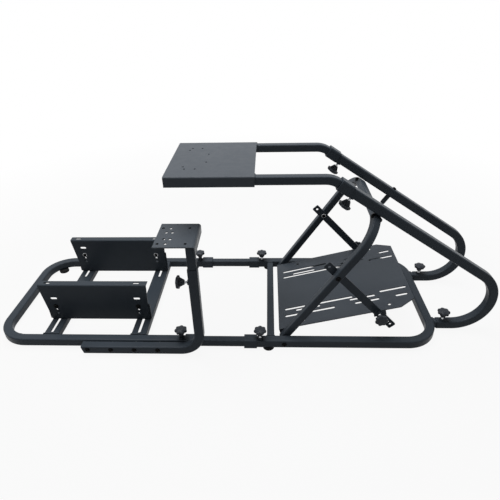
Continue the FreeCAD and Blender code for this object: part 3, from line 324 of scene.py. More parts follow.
ZINC_PLATE = Finish(
    "zinc_plate", Slot.ZINC, colour=(0.60, 0.61, 0.62), mottle=(0.48, 0.49, 0.51),
    edge_highlight=(0.72, 0.73, 0.74), roughness=0.30, rough_swing=0.07, grain=1600.0, grain_depth=0.00005,
    metallic=1.0, edge=0.0004)
BLACK_SCREW = Finish(
    "black_screw", Slot.ZINC, colour=(0.0012, 0.0013, 0.0016), mottle=(0.0020, 0.0021, 0.0024),
    edge_highlight=(0.020, 0.021, 0.024), roughness=0.42, rough_swing=0.06, grain=1500.0, grain_depth=0.00006,
    specular=0.05, edge=0.0003, highlight_most=0.12)


def new_object(name: str, data: bpy.types.ID) -> bpy.types.Object:
    """Add an object to the scene.

    Args:
        name: the object's name.
        data: its mesh, light or camera.

    Returns:
        The object.
    """
    thing = bpy.data.objects.new(name, data)
    bpy.context.scene.collection.objects.link(thing)
    return thing


def loft(rings: Sequence[Sequence[Point]], hollow: bool = False) -> Mesh:
    """Join rings of points to a closed skin.

    Args:
        rings: rings of as many points each, in millimetres.
        hollow: join the last ring to the first, for a piece with a bore, instead of closing both ends.

    Returns:
        The closed mesh, in metres.
    """
    work = bmesh.new()
    layers = [[work.verts.new(Vector(point) * MM) for point in ring] for ring in rings]
    count = len(layers[0])
    for low, high in zip(layers, layers[1:] + (layers[:1] if hollow else [])):
        for i in range(count):
            j = (i + 1) % count
            work.faces.new((low[i], low[j], high[j], high[i]))
    for layer in () if hollow else (layers[0], layers[-1]):
        middle = work.verts.new(sum((vert.co for vert in layer), Vector()) / count)
        for i in range(count):
            work.faces.new((middle, layer[i], layer[(i + 1) % count]))
    bmesh.ops.recalc_face_normals(work, faces=work.faces)
    mesh = bpy.data.meshes.new("loft")
    work.to_mesh(mesh)
    work.free()
    return mesh


def turned(profile: Sequence[tuple[float, float]], count: int = 36,
           outline: Callable[[float, int], float] | None = None, hollow: bool = False) -> Mesh:
    """Turn a profile round the Z axis.

    Args:
        profile: radius and height of each ring, in millimetres, from one end to the other.
        count: points in a ring.
        outline: extra radius at an angle of a ring.
        hollow: leave a bore; the profile then runs once round the wall.

    Returns:
        The closed mesh.
    """
    rings = []
    for index, (radius, height) in enumerate(profile):
        ring = []
        for step in range(count):
            angle = 2 * pi * step / count
            reach = radius + (outline(angle, index) if outline else 0.0)
            ring.append((reach * cos(angle), reach * sin(angle), height))
        rings.append(ring)
    return loft(rings, hollow)


def rounded_square(half: float, corner: float, steps: int) -> list[tuple[float, float]]:
    """Outline of a square with round corners.

    Args:
        half: half of the square's side.
        corner: corner radius.
        steps: points in a corner, less one.

    Returns:
        Points of the outline, counterclockwise.
    """
    points = []
    at = (half - corner) * sqrt(2)
    for turn in range(4):
        middle = pi / 4 + turn * pi / 2
        for step in range(steps + 1):
            angle = middle - pi / 4 + pi / 2 * step / steps
            points.append((at * cos(middle) + corner * cos(angle), at * sin(middle) + corner * sin(angle)))
    return points


def hexagon_reach(radius: float, angle: float) -> float:
    """Reach of a hexagon at an angle, past the circle of a radius that fits in it."""
    return radius / cos((angle % (pi / 3)) - pi / 6) - radius


@dataclass(frozen=True)
class Spot:
    """A place for a copied part: where it stands, which way it points and which way its side looks."""

    at: Point
    aim: Point = UP
    side: Point = LEFT

    def turn(self) -> Euler:
        """Angles that bring Z to the aim and X to the side.

        Returns:
            The Euler angles.
        """
        up = Vector(self.aim).normalized()
        side = Vector(self.side)
        side = (side - up * side.dot(up)).normalized()
        return Matrix((side, up.cross(side), up)).transposed().to_euler("XYZ")


class GeometryTree(NodeBench):
    """A geometry node tree built in the script, with named inputs."""

    def __init__(self, name: str, sockets: dict[str, str]) -> None:
        """Start a tree.

        Args:
            name: the tree's name.
            sockets: socket type of each input after the geometry, by its name.
        """
        super().__init__(bpy.data.node_groups.new(name, "GeometryNodeTree"))
        for label, kind in {"Geometry": "NodeSocketGeometry", **sockets}.items():
            self.tree.interface.new_socket(label, in_out="INPUT", socket_type=kind)
        self.tree.interface.new_socket("Geometry", in_out="OUTPUT", socket_type="NodeSocketGeometry")
        self.given = self.add("NodeGroupInput").outputs

    def close(self, instances: Socket) -> None:
        """End the tree: realize the instances and set their material.

        Args:
            instances: the instances' socket.
        """
        real = self.add("GeometryNodeRealizeInstances", {"Geometry": instances})
        paint = self.add("GeometryNodeSetMaterial", {"Geometry": real.outputs["Geometry"],
                                                     "Material": self.given["Finish"]})
        self.add("NodeGroupOutput", {"Geometry": paint.outputs["Geometry"]})

    def run(self, carrier: Mesh, values: dict[str, Any]) -> Mesh:
        """Run the tree on a mesh.

        Args:
            carrier: the mesh that it starts from.
            values: the inputs' values by name.

        Returns:
            The result as a plain mesh.
        """
        holder = new_object("carrier", carrier)
        modifier = holder.modifiers.new("copies", "NODES")
        modifier.node_group = self.tree
        names = {item.name: item.identifier for item in self.tree.interface.items_tree
                 if item.in_out == "INPUT"}
        for label, value in values.items():
            modifier[names[label]] = value
        holder.update_tag()
        graph = bpy.context.evaluated_depsgraph_get()
        mesh = bpy.data.meshes.new_from_object(holder.evaluated_get(graph), depsgraph=graph)
        holder.modifiers.remove(modifier)
        bpy.data.objects.remove(holder)
        bpy.data.meshes.remove(carrier)
        return mesh


class CopyTree(GeometryTree):
    """Copies a pattern to spots."""

    def __init__(self) -> None:
        """Build the tree."""
        super().__init__("copies_on_spots", {"Pattern": "NodeSocketObject", "Finish": "NodeSocketMaterial"})
        pattern = self.add("GeometryNodeObjectInfo", {"Object": self.given["Pattern"]},
                           transform_space="ORIGINAL")
        turn = self.add("GeometryNodeInputNamedAttribute", {"Name": "turn"}, data_type="FLOAT_VECTOR")
        rotation = self.add("FunctionNodeEulerToRotation", {"Euler": turn.outputs["Attribute"]})
        copies = self.add("GeometryNodeInstanceOnPoints", {
            "Points": self.given["Geometry"], "Instance": pattern.outputs["Geometry"],
            "Rotation": rotation.outputs["Rotation"]})
        self.close(copies.outputs["Instances"])

    def copy(self, pattern: Mesh, spots: Sequence[Spot], material: Material) -> Mesh:
        """Copy a pattern mesh to spots.

        Args:
            pattern: the mesh that is copied.
            spots: where the copies stand.
            material: the copies' material.

        Returns:
            One plain mesh of all copies.
        """
        carrier = bpy.data.meshes.new("spots")
        carrier.from_pydata([Vector(spot.at) * MM for spot in spots], [], [])
        turns = carrier.attributes.new("turn", "FLOAT_VECTOR", "POINT")
        turns.data.foreach_set("vector", [angle for spot in spots for angle in spot.turn()])
        model = new_object("pattern", pattern)
        mesh = self.run(carrier, {"Pattern": model, "Finish": material})
        bpy.data.objects.remove(model)
        bpy.data.meshes.remove(pattern)
        if "turn" in mesh.attributes:
            mesh.attributes.remove(mesh.attributes["turn"])
        return mesh


class WeldTree(GeometryTree):
    """Lays a weld bead of overlapping drops along paths."""

    drop_least: Point = (0.80, 0.42, 0.42)
    drop_most: Point = (0.95, 0.56, 0.56)

    def __init__(self) -> None:
        """Build the tree."""
        super().__init__("weld_beads", {"Pitch": "NodeSocketFloat", "Width": "NodeSocketFloat",
                                        "Seed": "NodeSocketInt", "Finish": "NodeSocketMaterial"})
        given = self.given
        curve = self.add("GeometryNodeMeshToCurve", {"Mesh": given["Geometry"]})
        even = self.add("GeometryNodeResampleCurve",
                        {"Curve": curve.outputs["Curve"], "Length": given["Pitch"]}, mode="LENGTH")
        drop = self.add("GeometryNodeMeshIcoSphere", {"Subdivisions": 2})
        along = self.add("GeometryNodeInputTangent").outputs["Tangent"]
        rotation = self.add("FunctionNodeAlignRotationToVector", {"Vector": along}, axis="X")
        swing = self.add("FunctionNodeRandomValue",
                         {0: self.drop_least, 1: self.drop_most, "Seed": given["Seed"]},
                         data_type="FLOAT_VECTOR")
        scale = self.add("ShaderNodeVectorMath", {0: swing.outputs[0], "Scale": given["Width"]},
                         operation="SCALE")
        copies = self.add("GeometryNodeInstanceOnPoints", {
            "Points": even.outputs["Curve"], "Instance": drop.outputs["Mesh"],
            "Rotation": rotation.outputs["Rotation"], "Scale": scale.outputs["Vector"]})
        self.close(copies.outputs["Instances"])

    def lay(self, paths: Sequence[Sequence[Point]], material: Material,
            pitch: float, width: float, seed: int) -> Mesh:
        """Lay beads along paths.

        Args:
            paths: points of each path, in millimetres.
            material: the beads' material.
            pitch: step between drops, in millimetres.
            width: width of the bead, in millimetres.
            seed: seed of the drops' swing.

        Returns:
            One plain mesh of all beads.
        """
        points: list[Vector] = []
        edges: list[tuple[int, int]] = []
        for path in paths:
            start = len(points)
            points.extend(Vector(point) * MM for point in path)
            edges.extend((i, i + 1) for i in range(start, len(points) - 1))
        carrier = bpy.data.meshes.new("paths")
        carrier.from_pydata(points, edges, [])
        return self.run(carrier, {"Pitch": pitch * MM, "Width": width * MM, "Seed": seed, "Finish": material})


class Workshop:
    """Where pieces are made: the materials, the copying tree and the calls that hand a mesh to the frame."""

    def __init__(self, frame: dict[str, Any]) -> None:
        """Take the loaded frame.

        Args:
            frame: bodies, nodes, joints and record of the frame.
        """
        self.nodes: dict[str, bpy.types.Object] = frame["nodes"]
        self.materials: dict[str, Material] = {}
        self.copies = CopyTree()

    def material(self, finish: Finish) -> Material:
        """Find a finish's material, or build it when it is first wanted.

        Args:
            finish: the finish wanted.

        Returns:
            Its material.
        """
        if finish.name not in self.materials:
            self.materials[finish.name] = finish.build()
        return self.materials[finish.name]

    def coat(self, finish: Finish, *names: str) -> None:
        """Give CAD nodes a finish.

        Args:
            finish: the finish.
            names: the nodes' names.
        """
        for name in names:
            mesh = self.nodes[name].data
            mesh.materials.clear()
            mesh.materials.append(self.material(finish))
            LOG.info("node %s takes %s", name, finish.name)

    def hand_over(self, name: str, mesh: Mesh, body: Body, finish: Finish,
                  nodes: Sequence[str] = ()) -> None:
        """Make a finished mesh a piece of the object.

        Args:
            name: the piece's name.
            mesh: its mesh, in place.
            body: the body that it moves with.
            finish: its finish, which names its slot.
            nodes: CAD nodes that it stands for.
        """
        mesh.name = name
        mesh.materials.clear()
        mesh.materials.append(self.material(finish))
        mesh.shade_smooth()
        mesh.set_sharp_from_angle(angle=SHARP_ANGLE)
        piece = new_object(name, mesh)
        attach(piece, body.value)
        if nodes:
            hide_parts(*nodes)
        LOG.info("piece %s on %s: %d faces", name, body.value, len(mesh.polygons))

    def place(self, name: str, pattern: Mesh, spots: Sequence[Spot], body: Body, finish: Finish,
              nodes: Sequence[str] = ()) -> None:
        """Copy a pattern to spots and hand the copies over as one piece."""
        mesh = self.copies.copy(pattern, spots, self.material(finish))
        self.hand_over(name, mesh, body, finish, nodes)


class KnobRing(NamedTuple):
    """One ring of a knob's head: its radius and height, and how far its lobes and ribs stand out."""

    radius: float
    height: float
    lobe: float = 0.0
    rib: float = 0.0


@dataclass
class StarKnobs:
    """The star knobs: plastic head with lobes, bare screw and weld nut, at the places of the CAD knobs."""

    shop: Workshop
    lobes: int = 7
    lobe_points: int = 16
    lobe_sharpness: float = 0.75
    rib_sharpness: float = 5.0
    core: float = 17.3
    lobe: float = 3.7
    nut: float = 4.0
    nut_radius: float = 9.0
    stem: float = 9.0
    hub: float = 15.0
    head: float = 12.0
    screw: float = 4.0
    thread: float = 0.5
    thread_pitch: float = 1.25
    stub_x: float = 690.0
    mouth_x: float = 335.3
    mouth_z: float = 504.9
    seat_x: float = -198.0
    shifter_x: float = -145.0
    shifter_z: float = 292.0

    def swell(self, angle: float, sharpness: float) -> float:
        """Share of a lobe's or a rib's height at an angle."""
        return (0.5 + 0.5 * cos(self.lobes * angle)) ** sharpness

    def head_pattern(self) -> Mesh:
        """Build the plastic head: a boss with a rib to each lobe, and the lobed cap.

        Returns:
            The head's mesh, its heights measured from the nut's foot.
        """
        foot = self.nut + self.stem
        rim = foot + self.hub
        top = rim + self.head
        core, lobe = self.core, self.lobe
        boss = [KnobRing(4.2, foot), KnobRing(6.6, foot, rib=0.3), KnobRing(7.3, foot + 0.6, rib=0.6),
                KnobRing(7.5, foot + 3.0, rib=1.6), KnobRing(7.6, foot + 6.0, rib=3.0),
                KnobRing(7.8, foot + 9.0, rib=4.4), KnobRing(8.0, foot + 12.0, rib=5.8),
                KnobRing(8.2, rim - 1.4, rib=6.4), KnobRing(8.8, rim - 0.5, rib=6.2)]
        cap = [KnobRing(12.2, rim - 0.1, 0.2, 2.8), KnobRing(15.4, rim, 1.8),
               KnobRing(core - 0.5, rim + 0.8, lobe - 0.5), KnobRing(core, rim + 2.0, lobe),
               KnobRing(core, top - 5.4, lobe), KnobRing(core - 0.3, top - 4.2, lobe - 0.2),
               KnobRing(core - 1.0, top - 3.2, lobe - 0.8), KnobRing(core - 2.2, top - 2.2, lobe - 2.0),
               KnobRing(12.0, top - 1.4, 1.4), KnobRing(10.4, top - 0.7, 0.4), KnobRing(8.6, top - 0.1),
               KnobRing(7.4, top), KnobRing(6.8, top - 0.5), KnobRing(2.0, top - 0.7)]
        rings = boss + cap
        return turned([(ring.radius, ring.height) for ring in rings], self.lobes * self.lobe_points,
                      lambda angle, index: (rings[index].lobe * self.swell(angle, self.lobe_sharpness)
                                            + rings[index].rib * self.swell(angle, self.rib_sharpness)))

    def stud_pattern(self) -> Mesh:
        """Build the bare screw with its thread.

        Returns:
            The screw's mesh.
        """
        inner, root = 2.0, self.screw - self.thread
        profile = [(inner, self.nut - 1.0), (root, self.nut - 1.0)]
        height = self.nut - 0.6
        while height < self.nut + self.stem + 0.6:
            profile += [(self.screw, height), (self.screw, height + 0.3), (root, height + 0.8)]
            height += self.thread_pitch
        return turned(profile + [(inner, profile[-1][1])], count=24)

    def nut_pattern(self) -> Mesh:
        """Build the round weld nut with its fillet."""
        r, top = self.nut_radius, self.nut
        return turned([(r, -0.6), (r + 1.6, -0.4), (r + 0.7, 0.5), (r + 0.1, 1.4), (r, 1.9), (r, top - 0.9),
                       (r - 0.8, top), (5.0, top), (4.4, top - 0.7)])

    def sleeve_pattern(self) -> Mesh:
        """Build the plastic sleeve that hides the screw of a knob."""
        low, high = self.nut + 0.1, self.nut + self.stem + 0.4
        return turned([(3.0, low), (6.8, low), (7.1, low + 0.4), (7.3, high - 0.4), (6.6, high),
                       (3.0, high)])

    def pedal_spots(self) -> list[Spot]:
        """Places of the knobs on the pedal half.

        Returns:
            The spots.
        """
        rail_low, rail_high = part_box("pedal_rail_knobs")
        rail_x = (rail_low.x + rail_high.x) / 2 / MM
        strap_low, strap_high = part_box("strap_knobs")
        strap_x = (strap_low.x + strap_high.x) / 2 / MM
        strap_z = (strap_low.z + strap_high.z) / 2 / MM
        spots = []
        for side in SIDES:
            spots += [Spot((rail_x, MID_Y + side * RAIL_HALF, RAIL_TOP)),
                      Spot((self.stub_x, MID_Y + side * ARM_HALF, RAIL_TOP)),
                      Spot((self.mouth_x, MID_Y + side * ARM_HALF, self.mouth_z), UNDER_ARM),
                      Spot((strap_x, MID_Y + side * STRAP_HALF, strap_z), (0.0, side, 0.0), ALONG)]
        return spots

    def build(self) -> None:
        """Make the knobs of both halves."""
        rail_spots = [Spot((self.seat_x, MID_Y + side * RAIL_HALF, RAIL_TOP)) for side in SIDES]
        shifter_spot = Spot((self.shifter_x, SHIFTER_Y, self.shifter_z), BACK)
        halves = (("pedal", Body.PEDAL, self.pedal_spots(),
                   ("pedal_rail_knobs", "arm_stub_knobs", "arm_mouth_knobs", "strap_knobs")),
                  ("seat", Body.SEAT, [*rail_spots, shifter_spot], ("seat_rail_knobs", "shifter_knob")))
        for half, body, spots, nodes in halves:
            self.shop.place(f"star_heads_{half}", self.head_pattern(), spots, body, KNOB_PLASTIC, nodes)
            self.shop.place(f"knob_screws_{half}", self.stud_pattern(), spots, body, ZINC_PLATE)
            self.shop.place(f"weld_nuts_{half}", self.nut_pattern(), spots, body, TUBE_COAT)
        self.shop.place("knob_sleeves_seat", self.sleeve_pattern(), rail_spots, Body.SEAT, KNOB_PLASTIC)


@dataclass
class Bolts:
    """Button-head screws, washers and nuts that hold the frame together."""

    shop: Workshop
    head: float = 6.8
    head_high: float = 3.7
    socket: float = 2.9
    washer: float = 8.4
    washer_high: float = 1.1
    nut: float = 7.2
    nut_high: float = 5.2
    plate_nut: float = 8.0
    plate_nut_bore: float = 4.4
    plate_nut_high: float = 4.8
    hoop_foot_x: float = 144.0
    hoop_face_half: float = 225.0
    strap_joint_x: float = 305.5
    strap_joint_z: float = 269.0
    strap_thick: float = 4.0
    crosspiece_front: tuple[float, float] = (405.4, 442.6)
    crosspiece_back: tuple[float, float] = (426.2, 428.8)
    shifter_first_x: float = -505.0
    shifter_step: float = 78.0
    shifter_count: int = 4
    shifter_z: float = 28.0
    bracket_xs: tuple[float, float] = (-649.0, -359.0)
    bracket_right_z: float = 99.0
    bracket_left_z: float = 120.0
    bracket_thick: float = 6.0
    clip_off: float = 17.0
    bar_thick: float = 3.0
    plate_hole_xs: tuple[float, float] = (-223.0, -143.0)
    plate_hole_ys: tuple[float, float] = (-257.5, -165.5)
    plate_under_z: float = 422.0

    def head_pattern(self) -> Mesh:
        """Build a button head with its hexagon socket.

        Returns:
            The head's mesh, standing on its washer.
        """
        r, foot, top = self.head, self.washer_high, self.washer_high + self.head_high
        dome = [(r - 0.6, foot), (r, foot + 0.4), (r - 0.2, foot + 1.2), (r - 1.0, foot + 2.3),
                (r - 2.0, foot + 3.1), (r - 3.0, top - 0.1), (self.socket + 0.55, top)]
        well = [(self.socket, top - 0.2), (self.socket, top - 2.0)]
        return turned(dome + well, outline=lambda angle, index: (
            hexagon_reach(self.socket, angle) if index >= len(dome) else 0.0))

    def washer_pattern(self) -> Mesh:
        """Build a flat washer."""
        r, high = self.washer, self.washer_high
        return turned([(r, -0.1), (r, high - 0.3), (r - 0.4, high), (5.0, high + 0.05)])

    def nut_pattern(self) -> Mesh:
        """Build a hexagon nut with its screw's end.

        Returns:
            The nut's mesh, standing on its washer.
        """
        r, foot, top = self.nut, self.washer_high, self.washer_high + self.nut_high
        chamfer, flats = 0.8, (1, 2)
        profile = [(r - 0.6, foot), (r, foot + 0.5), (r, top - 0.6), (r - 0.9, top), (4.3, top),
                   (3.9, top + 0.2), (3.8, top + 1.6), (3.2, top + 2.1)]
        return turned(profile, outline=lambda angle, index: (
            hexagon_reach(r - chamfer, angle) - chamfer if index in flats else 0.0))

    def plate_nut_pattern(self) -> Mesh:
        """Build a hexagon weld nut with an open bore, hanging under a plate.

        Returns:
            The nut's mesh.
        """
        bore, r, low = self.plate_nut_bore, self.plate_nut, -self.plate_nut_high
        flats = (1, 2, 3)
        profile = [(bore, 0.0), (r, 0.0), (r, low + 0.5), (r - 0.8, low), (bore + 0.6, low),
                   (bore, low + 0.6)]
        return turned(profile, outline=lambda angle, index: (
            hexagon_reach(r, angle) if index in flats else 0.0), hollow=True)

    def pedal_heads(self) -> list[Spot]:
        """Screws of the hoop's feet, of the straps and of the hoop's crosspiece.

        Returns:
            The spots.
        """
        rail_face = RAIL_HALF + TUBE / 2
        cross_x, cross_z = self.crosspiece_front
        spots = []
        for side in SIDES:
            out = (0.0, side, 0.0)
            hoop_y = MID_Y + side * self.hoop_face_half
            spots += [Spot((self.hoop_foot_x, MID_Y + side * rail_face, RAIL_Z), out, ALONG),
                      Spot((self.strap_joint_x, hoop_y, self.strap_joint_z), out, ALONG),
                      Spot((cross_x, MID_Y + side * ARM_HALF, cross_z), UP_ARM)]
        return spots

    def strap_spots(self) -> list[Spot]:
        """Places on the straps' inner faces, over the screws that join them to the hoop."""
        x, half, z = self.strap_joint_x, STRAP_HALF - self.strap_thick, self.strap_joint_z
        return [Spot((x, MID_Y + side * half, z), (0.0, -side, 0.0), ALONG) for side in SIDES]

    def pedal_nuts(self) -> list[Spot]:
        """Nuts on the far face of the hoop's crosspiece."""
        x, z = self.crosspiece_back
        return [Spot((x, MID_Y + side * ARM_HALF, z), DOWN_ARM) for side in SIDES]

    def bracket_spots(self, half: float, z: float, depth: float, aim: Point) -> list[Spot]:
        """Places at a seat bracket's upper round holes, at a depth to the left of its right face."""
        return [Spot((x, MID_Y + half + depth, z), aim, ALONG) for x in self.bracket_xs]

    def tube_heads(self) -> list[Spot]:
        """Screws that hold the shifter tube to the right rail."""
        xs = [self.shifter_first_x + self.shifter_step * n for n in range(self.shifter_count)]
        return [Spot((x, SHIFTER_Y - TUBE / 2, self.shifter_z), RIGHT, ALONG) for x in xs]

    def clip_heads(self) -> list[Spot]:
        """Screws of the brackets' clips, on top of the cross-bars."""
        return [Spot((x, MID_Y + side * BRACKET_HALF + self.clip_off, RAIL_TOP + self.bar_thick))
                for side in SIDES for x in (BAR_REAR_X, BAR_FRONT_X)]

    def build_pedal(self) -> None:
        """Make the fasteners of the pedal half."""
        heads, nuts, straps = self.pedal_heads(), self.pedal_nuts(), self.strap_spots()
        place = self.shop.place
        place("screw_heads_pedal", self.head_pattern(), heads, Body.PEDAL, BLACK_SCREW)
        place("washers_pedal", self.washer_pattern(), heads + nuts, Body.PEDAL, BLACK_SCREW)
        place("nuts_pedal", self.nut_pattern(), nuts, Body.PEDAL, BLACK_SCREW)
        place("strap_screws", self.head_pattern(), straps, Body.PEDAL, BLACK_SCREW)
        place("strap_washers", self.washer_pattern(), straps, Body.PEDAL, ZINC_PLATE)

    def build_seat(self) -> None:
        """Make the seat half's fasteners: all black but the nuts, their washers and the left bracket's."""
        right, left = (-BRACKET_HALF, self.bracket_right_z), (BRACKET_HALF, self.bracket_left_z)
        right_heads, left_heads = (self.bracket_spots(*at, 0.0, RIGHT) for at in (right, left))
        nuts = [spot for at in (right, left) for spot in self.bracket_spots(*at, self.bracket_thick, LEFT)]
        tube, clips = self.tube_heads(), self.clip_heads()
        heads = tube + right_heads + left_heads + clips
        place = self.shop.place
        place("screw_heads_seat", self.head_pattern(), heads, Body.SEAT, BLACK_SCREW)
        place("washers_seat", self.washer_pattern(), tube + right_heads + clips, Body.SEAT, BLACK_SCREW)
        place("zinc_washers_seat", self.washer_pattern(), left_heads + nuts, Body.SEAT, ZINC_PLATE)
        place("nuts_seat", self.nut_pattern(), nuts, Body.SEAT, ZINC_PLATE)

    def build(self) -> None:
        """Make the screws, washers and nuts of each body."""
        self.build_pedal()
        self.build_seat()
        corners = [Spot((x, y, self.plate_under_z)) for x in self.plate_hole_xs for y in self.plate_hole_ys]
        self.shop.place("nuts_shifter", self.plate_nut_pattern(), corners, Body.SHIFTER, BLACK_SCREW)


@dataclass
class ArmPeg:
    """The short peg under the left arm, with its screw's head on top of the arm."""

    shop: Workshop
    at_x: float = 525.0
    radius: float = 8.5
    length: float = 36.0
    head: float = 6.6

    def build(self) -> None:
        """Make the peg and its screw's head."""
        down = Vector(UNDER_ARM)
        under_z = (ARM_LINE - TUBE / 2 + down.x * self.at_x) / -down.z
        under = Vector((self.at_x, MID_Y + ARM_HALF, under_z))
        top = under - down * TUBE
        r, end = self.radius, self.length
        peg = turned([(3.0, -0.3), (r - 0.8, -0.3), (r, 0.5), (r, end - 2.2), (r - 0.6, end - 0.8),
                      (r - 2.0, end), (5.2, end), (4.6, end - 1.0), (2.0, end - 1.2)])
        r = self.head
        head = turned([(2.0, -0.1), (r - 0.2, -0.1), (r, 0.4), (r, 3.4), (r - 0.6, 4.4), (r - 1.8, 5.0),
                       (2.0, 5.1)])
        self.shop.place("arm_peg_left", peg, [Spot(tuple(under), tuple(down))], Body.PEDAL, TUBE_COAT)
        self.shop.place("arm_peg_screw", head, [Spot(tuple(top), tuple(-down))], Body.PEDAL, BLACK_SCREW)


@dataclass
class Feet:
    """Round rubber feet with a stepped rim and ribs, under the two floor loops."""

    shop: Workshop
    radius: float = 19.0
    high: float = 10.0
    corner_half: float = RAIL_HALF - 31.0
    pedal_rail_x: float = 92.0
    pedal_corner_x: float = 598.0
    seat_rail_x: float = -226.0
    seat_corner_x: float = -785.0

    def pattern(self) -> Mesh:
        """Build one foot.

        Returns:
            The foot's mesh.
        """
        r, h = self.radius, self.high
        return turned([(3.0, 1.2), (9.0, 1.2), (9.6, 0.0), (11.6, 0.0), (12.2, 0.9), (14.0, 0.9), (14.6, 0.0),
                       (r - 1.6, 0.0), (r - 0.5, 0.5), (r, 1.6), (r, 4.6), (r - 0.7, 5.1), (r - 0.7, 5.9),
                       (r - 0.2, 6.3), (r - 0.4, h - 1.6), (r - 1.2, h - 0.4), (r - 2.2, h), (3.0, h)],
                      count=48)

    def build(self) -> None:
        """Make the feet of both loops."""
        for name, body, rail_x, corner_x, node in (
                ("rubber_feet_pedal", Body.PEDAL, self.pedal_rail_x, self.pedal_corner_x, "pedal_feet"),
                ("rubber_feet_seat", Body.SEAT, self.seat_rail_x, self.seat_corner_x, "seat_feet")):
            spots = [Spot((x, MID_Y + side * half, 0.0)) for side in SIDES
                     for x, half in ((rail_x, RAIL_HALF), (corner_x, self.corner_half))]
            self.shop.place(name, self.pattern(), spots, body, FOOT_RUBBER, (node,))


@dataclass
class TubePlugs:
    """Plastic plugs in the fork's open seat ends."""

    shop: Workshop
    half: float = 13.0
    corner: float = 4.0
    end_x: float = -205.0
    fork_z: float = 561.0

    def pattern(self) -> Mesh:
        """Build one plug.

        Returns:
            The plug's mesh, its cap on the tube's cut end.
        """
        half, corner = self.half, self.corner
        layers = ((half - 2.4, corner - 1.0, -9.0), (half - 1.8, corner - 1.0, -8.0),
                  (half - 1.8, corner - 1.0, -0.1), (half - 0.3, corner, -0.1), (half - 0.3, corner, 1.2),
                  (half - 0.9, corner - 0.4, 2.0), (half - 4.0, corner - 1.0, 2.2))
        return loft([[(x, y, z) for x, y in rounded_square(size, bend, steps=5)] for size, bend, z in layers])

    def build(self) -> None:
        """Make the plugs."""
        spots = [Spot((self.end_x, MID_Y + side * ARM_HALF, self.fork_z), BACK) for side in SIDES]
        self.shop.place("fork_plugs", self.pattern(), spots, Body.DECK, PLUG_PLASTIC)


@dataclass
class Welds:
    """Painted weld beads where tubes and bars meet."""

    shop: Workshop
    tree: WeldTree
    pitch: float = 2.6
    width: float = 5.0
    seed: int = 7
    corner: float = 3.5
    wall_half: float = RAIL_HALF - 16.4
    cross_tube_x: float = 99.0
    cross_tube_half: float = 12.9
    stub_x: float = 660.7
    stub_half: float = 13.4
    bar_half: float = 26.2
    bar_top_half: float = 24.0
    bar_low_z: float = 20.0
    bar_bend_z: float = 38.2
    bar_top_z: float = 39.6
    deck_x: float = 52.6
    deck_z: float = 573.6
    deck_reach: float = 11.0
    post_x: float = -117.6
    post_half: float = 12.6
    post_low_z: float = 396.5
    post_high_z: float = 416.0

    def square_path(self, middle: Point, across: Point, half: float) -> list[Point]:
        """A closed upright path round a square tube.

        Args:
            middle: the square's middle.
            across: level direction of one pair of sides.
            half: half of a side.

        Returns:
            The path's points.
        """
        centre, level, up = Vector(middle), Vector(across), Vector(UP)
        points = [tuple(centre + level * x + up * y) for x, y in rounded_square(half, self.corner, steps=4)]
        return points + [points[0]]

    def bar_path(self, bar_x: float, wall: float) -> list[Point]:
        """A path over a cross-bar's end, where it meets the rail's wall.

        Args:
            bar_x: the bar's middle.
            wall: the bead's place at the wall.

        Returns:
            The path's points.
        """
        rise = [(self.bar_half, self.bar_low_z), (self.bar_half, self.bar_bend_z),
                (self.bar_top_half, self.bar_top_z)]
        return ([(bar_x - half, wall, z) for half, z in rise]
                + [(bar_x + half, wall, z) for half, z in reversed(rise)])

    def lay(self, name: str, paths: list[list[Point]], body: Body) -> None:
        """Lay the beads of one body along their paths, as one piece."""
        mesh = self.tree.lay(paths, self.shop.material(TUBE_COAT), self.pitch, self.width, self.seed)
        self.shop.hand_over(name, mesh, body, TUBE_COAT)

    def build(self) -> None:
        """Lay the beads of each body."""
        pedal: list[list[Point]] = []
        seat: list[list[Point]] = []
        deck: list[list[Point]] = []
        for side in SIDES:
            wall, arm_y = MID_Y + side * self.wall_half, MID_Y + side * ARM_HALF
            pedal.append(self.square_path((self.cross_tube_x, wall, RAIL_Z), ALONG, self.cross_tube_half))
            pedal.append(self.square_path((self.stub_x, arm_y, RAIL_Z), LEFT, self.stub_half))
            seat += [self.bar_path(bar_x, wall) for bar_x in (BAR_FRONT_X, BAR_REAR_X)]
            deck.append([(self.deck_x, arm_y + edge, self.deck_z)
                         for edge in (-self.deck_reach, self.deck_reach)])
        post = [[(self.post_x, SHIFTER_Y + edge, z) for z in (self.post_low_z, self.post_high_z)]
                for edge in (-self.post_half, self.post_half)]
        self.lay("welds_pedal", pedal, Body.PEDAL)
        self.lay("welds_seat", seat, Body.SEAT)
        self.lay("welds_deck", deck, Body.DECK)
        self.lay("welds_shifter", post, Body.SHIFTER)


@dataclass
class Coats:
    """The coats of the CAD nodes that show as they are."""

    shop: Workshop
    tubes: tuple[str, ...] = (
        "pedal_loop", "pedal_cross_tube", "hoop", "seat_loop", "seat_bar_front", "seat_bar_rear",
        "shifter_post", "shifter_inner_post")
    tube_pairs: tuple[str, ...] = (
        "pedal_collar", "arm", "arm_collar", "arm_stub", "plate_strap", "link_tube", "seat_collar",
        "seat_bracket", "bracket_clips", "fork")
    sheets: tuple[str, ...] = ("pedal_plate", "wheel_plate", "shifter_plate")
    zinc: tuple[str, ...] = ("shifter_spacers",)

    def build(self) -> None:
        """Coat the nodes."""
        pairs = [f"{name}_{side}" for name in self.tube_pairs for side in ("right", "left")]
        self.shop.coat(TUBE_COAT, *self.tubes, *pairs)
        self.shop.coat(SHEET_COAT, *self.sheets)
        self.shop.coat(ZINC_PLATE, *self.zinc)


@dataclass(frozen=True)
class Lamp:
    """A round soft lamp: its place, what it looks at, how wide it is and its power in watts."""

    name: str
    place: Point
    target: Point
    size: float
    power: float


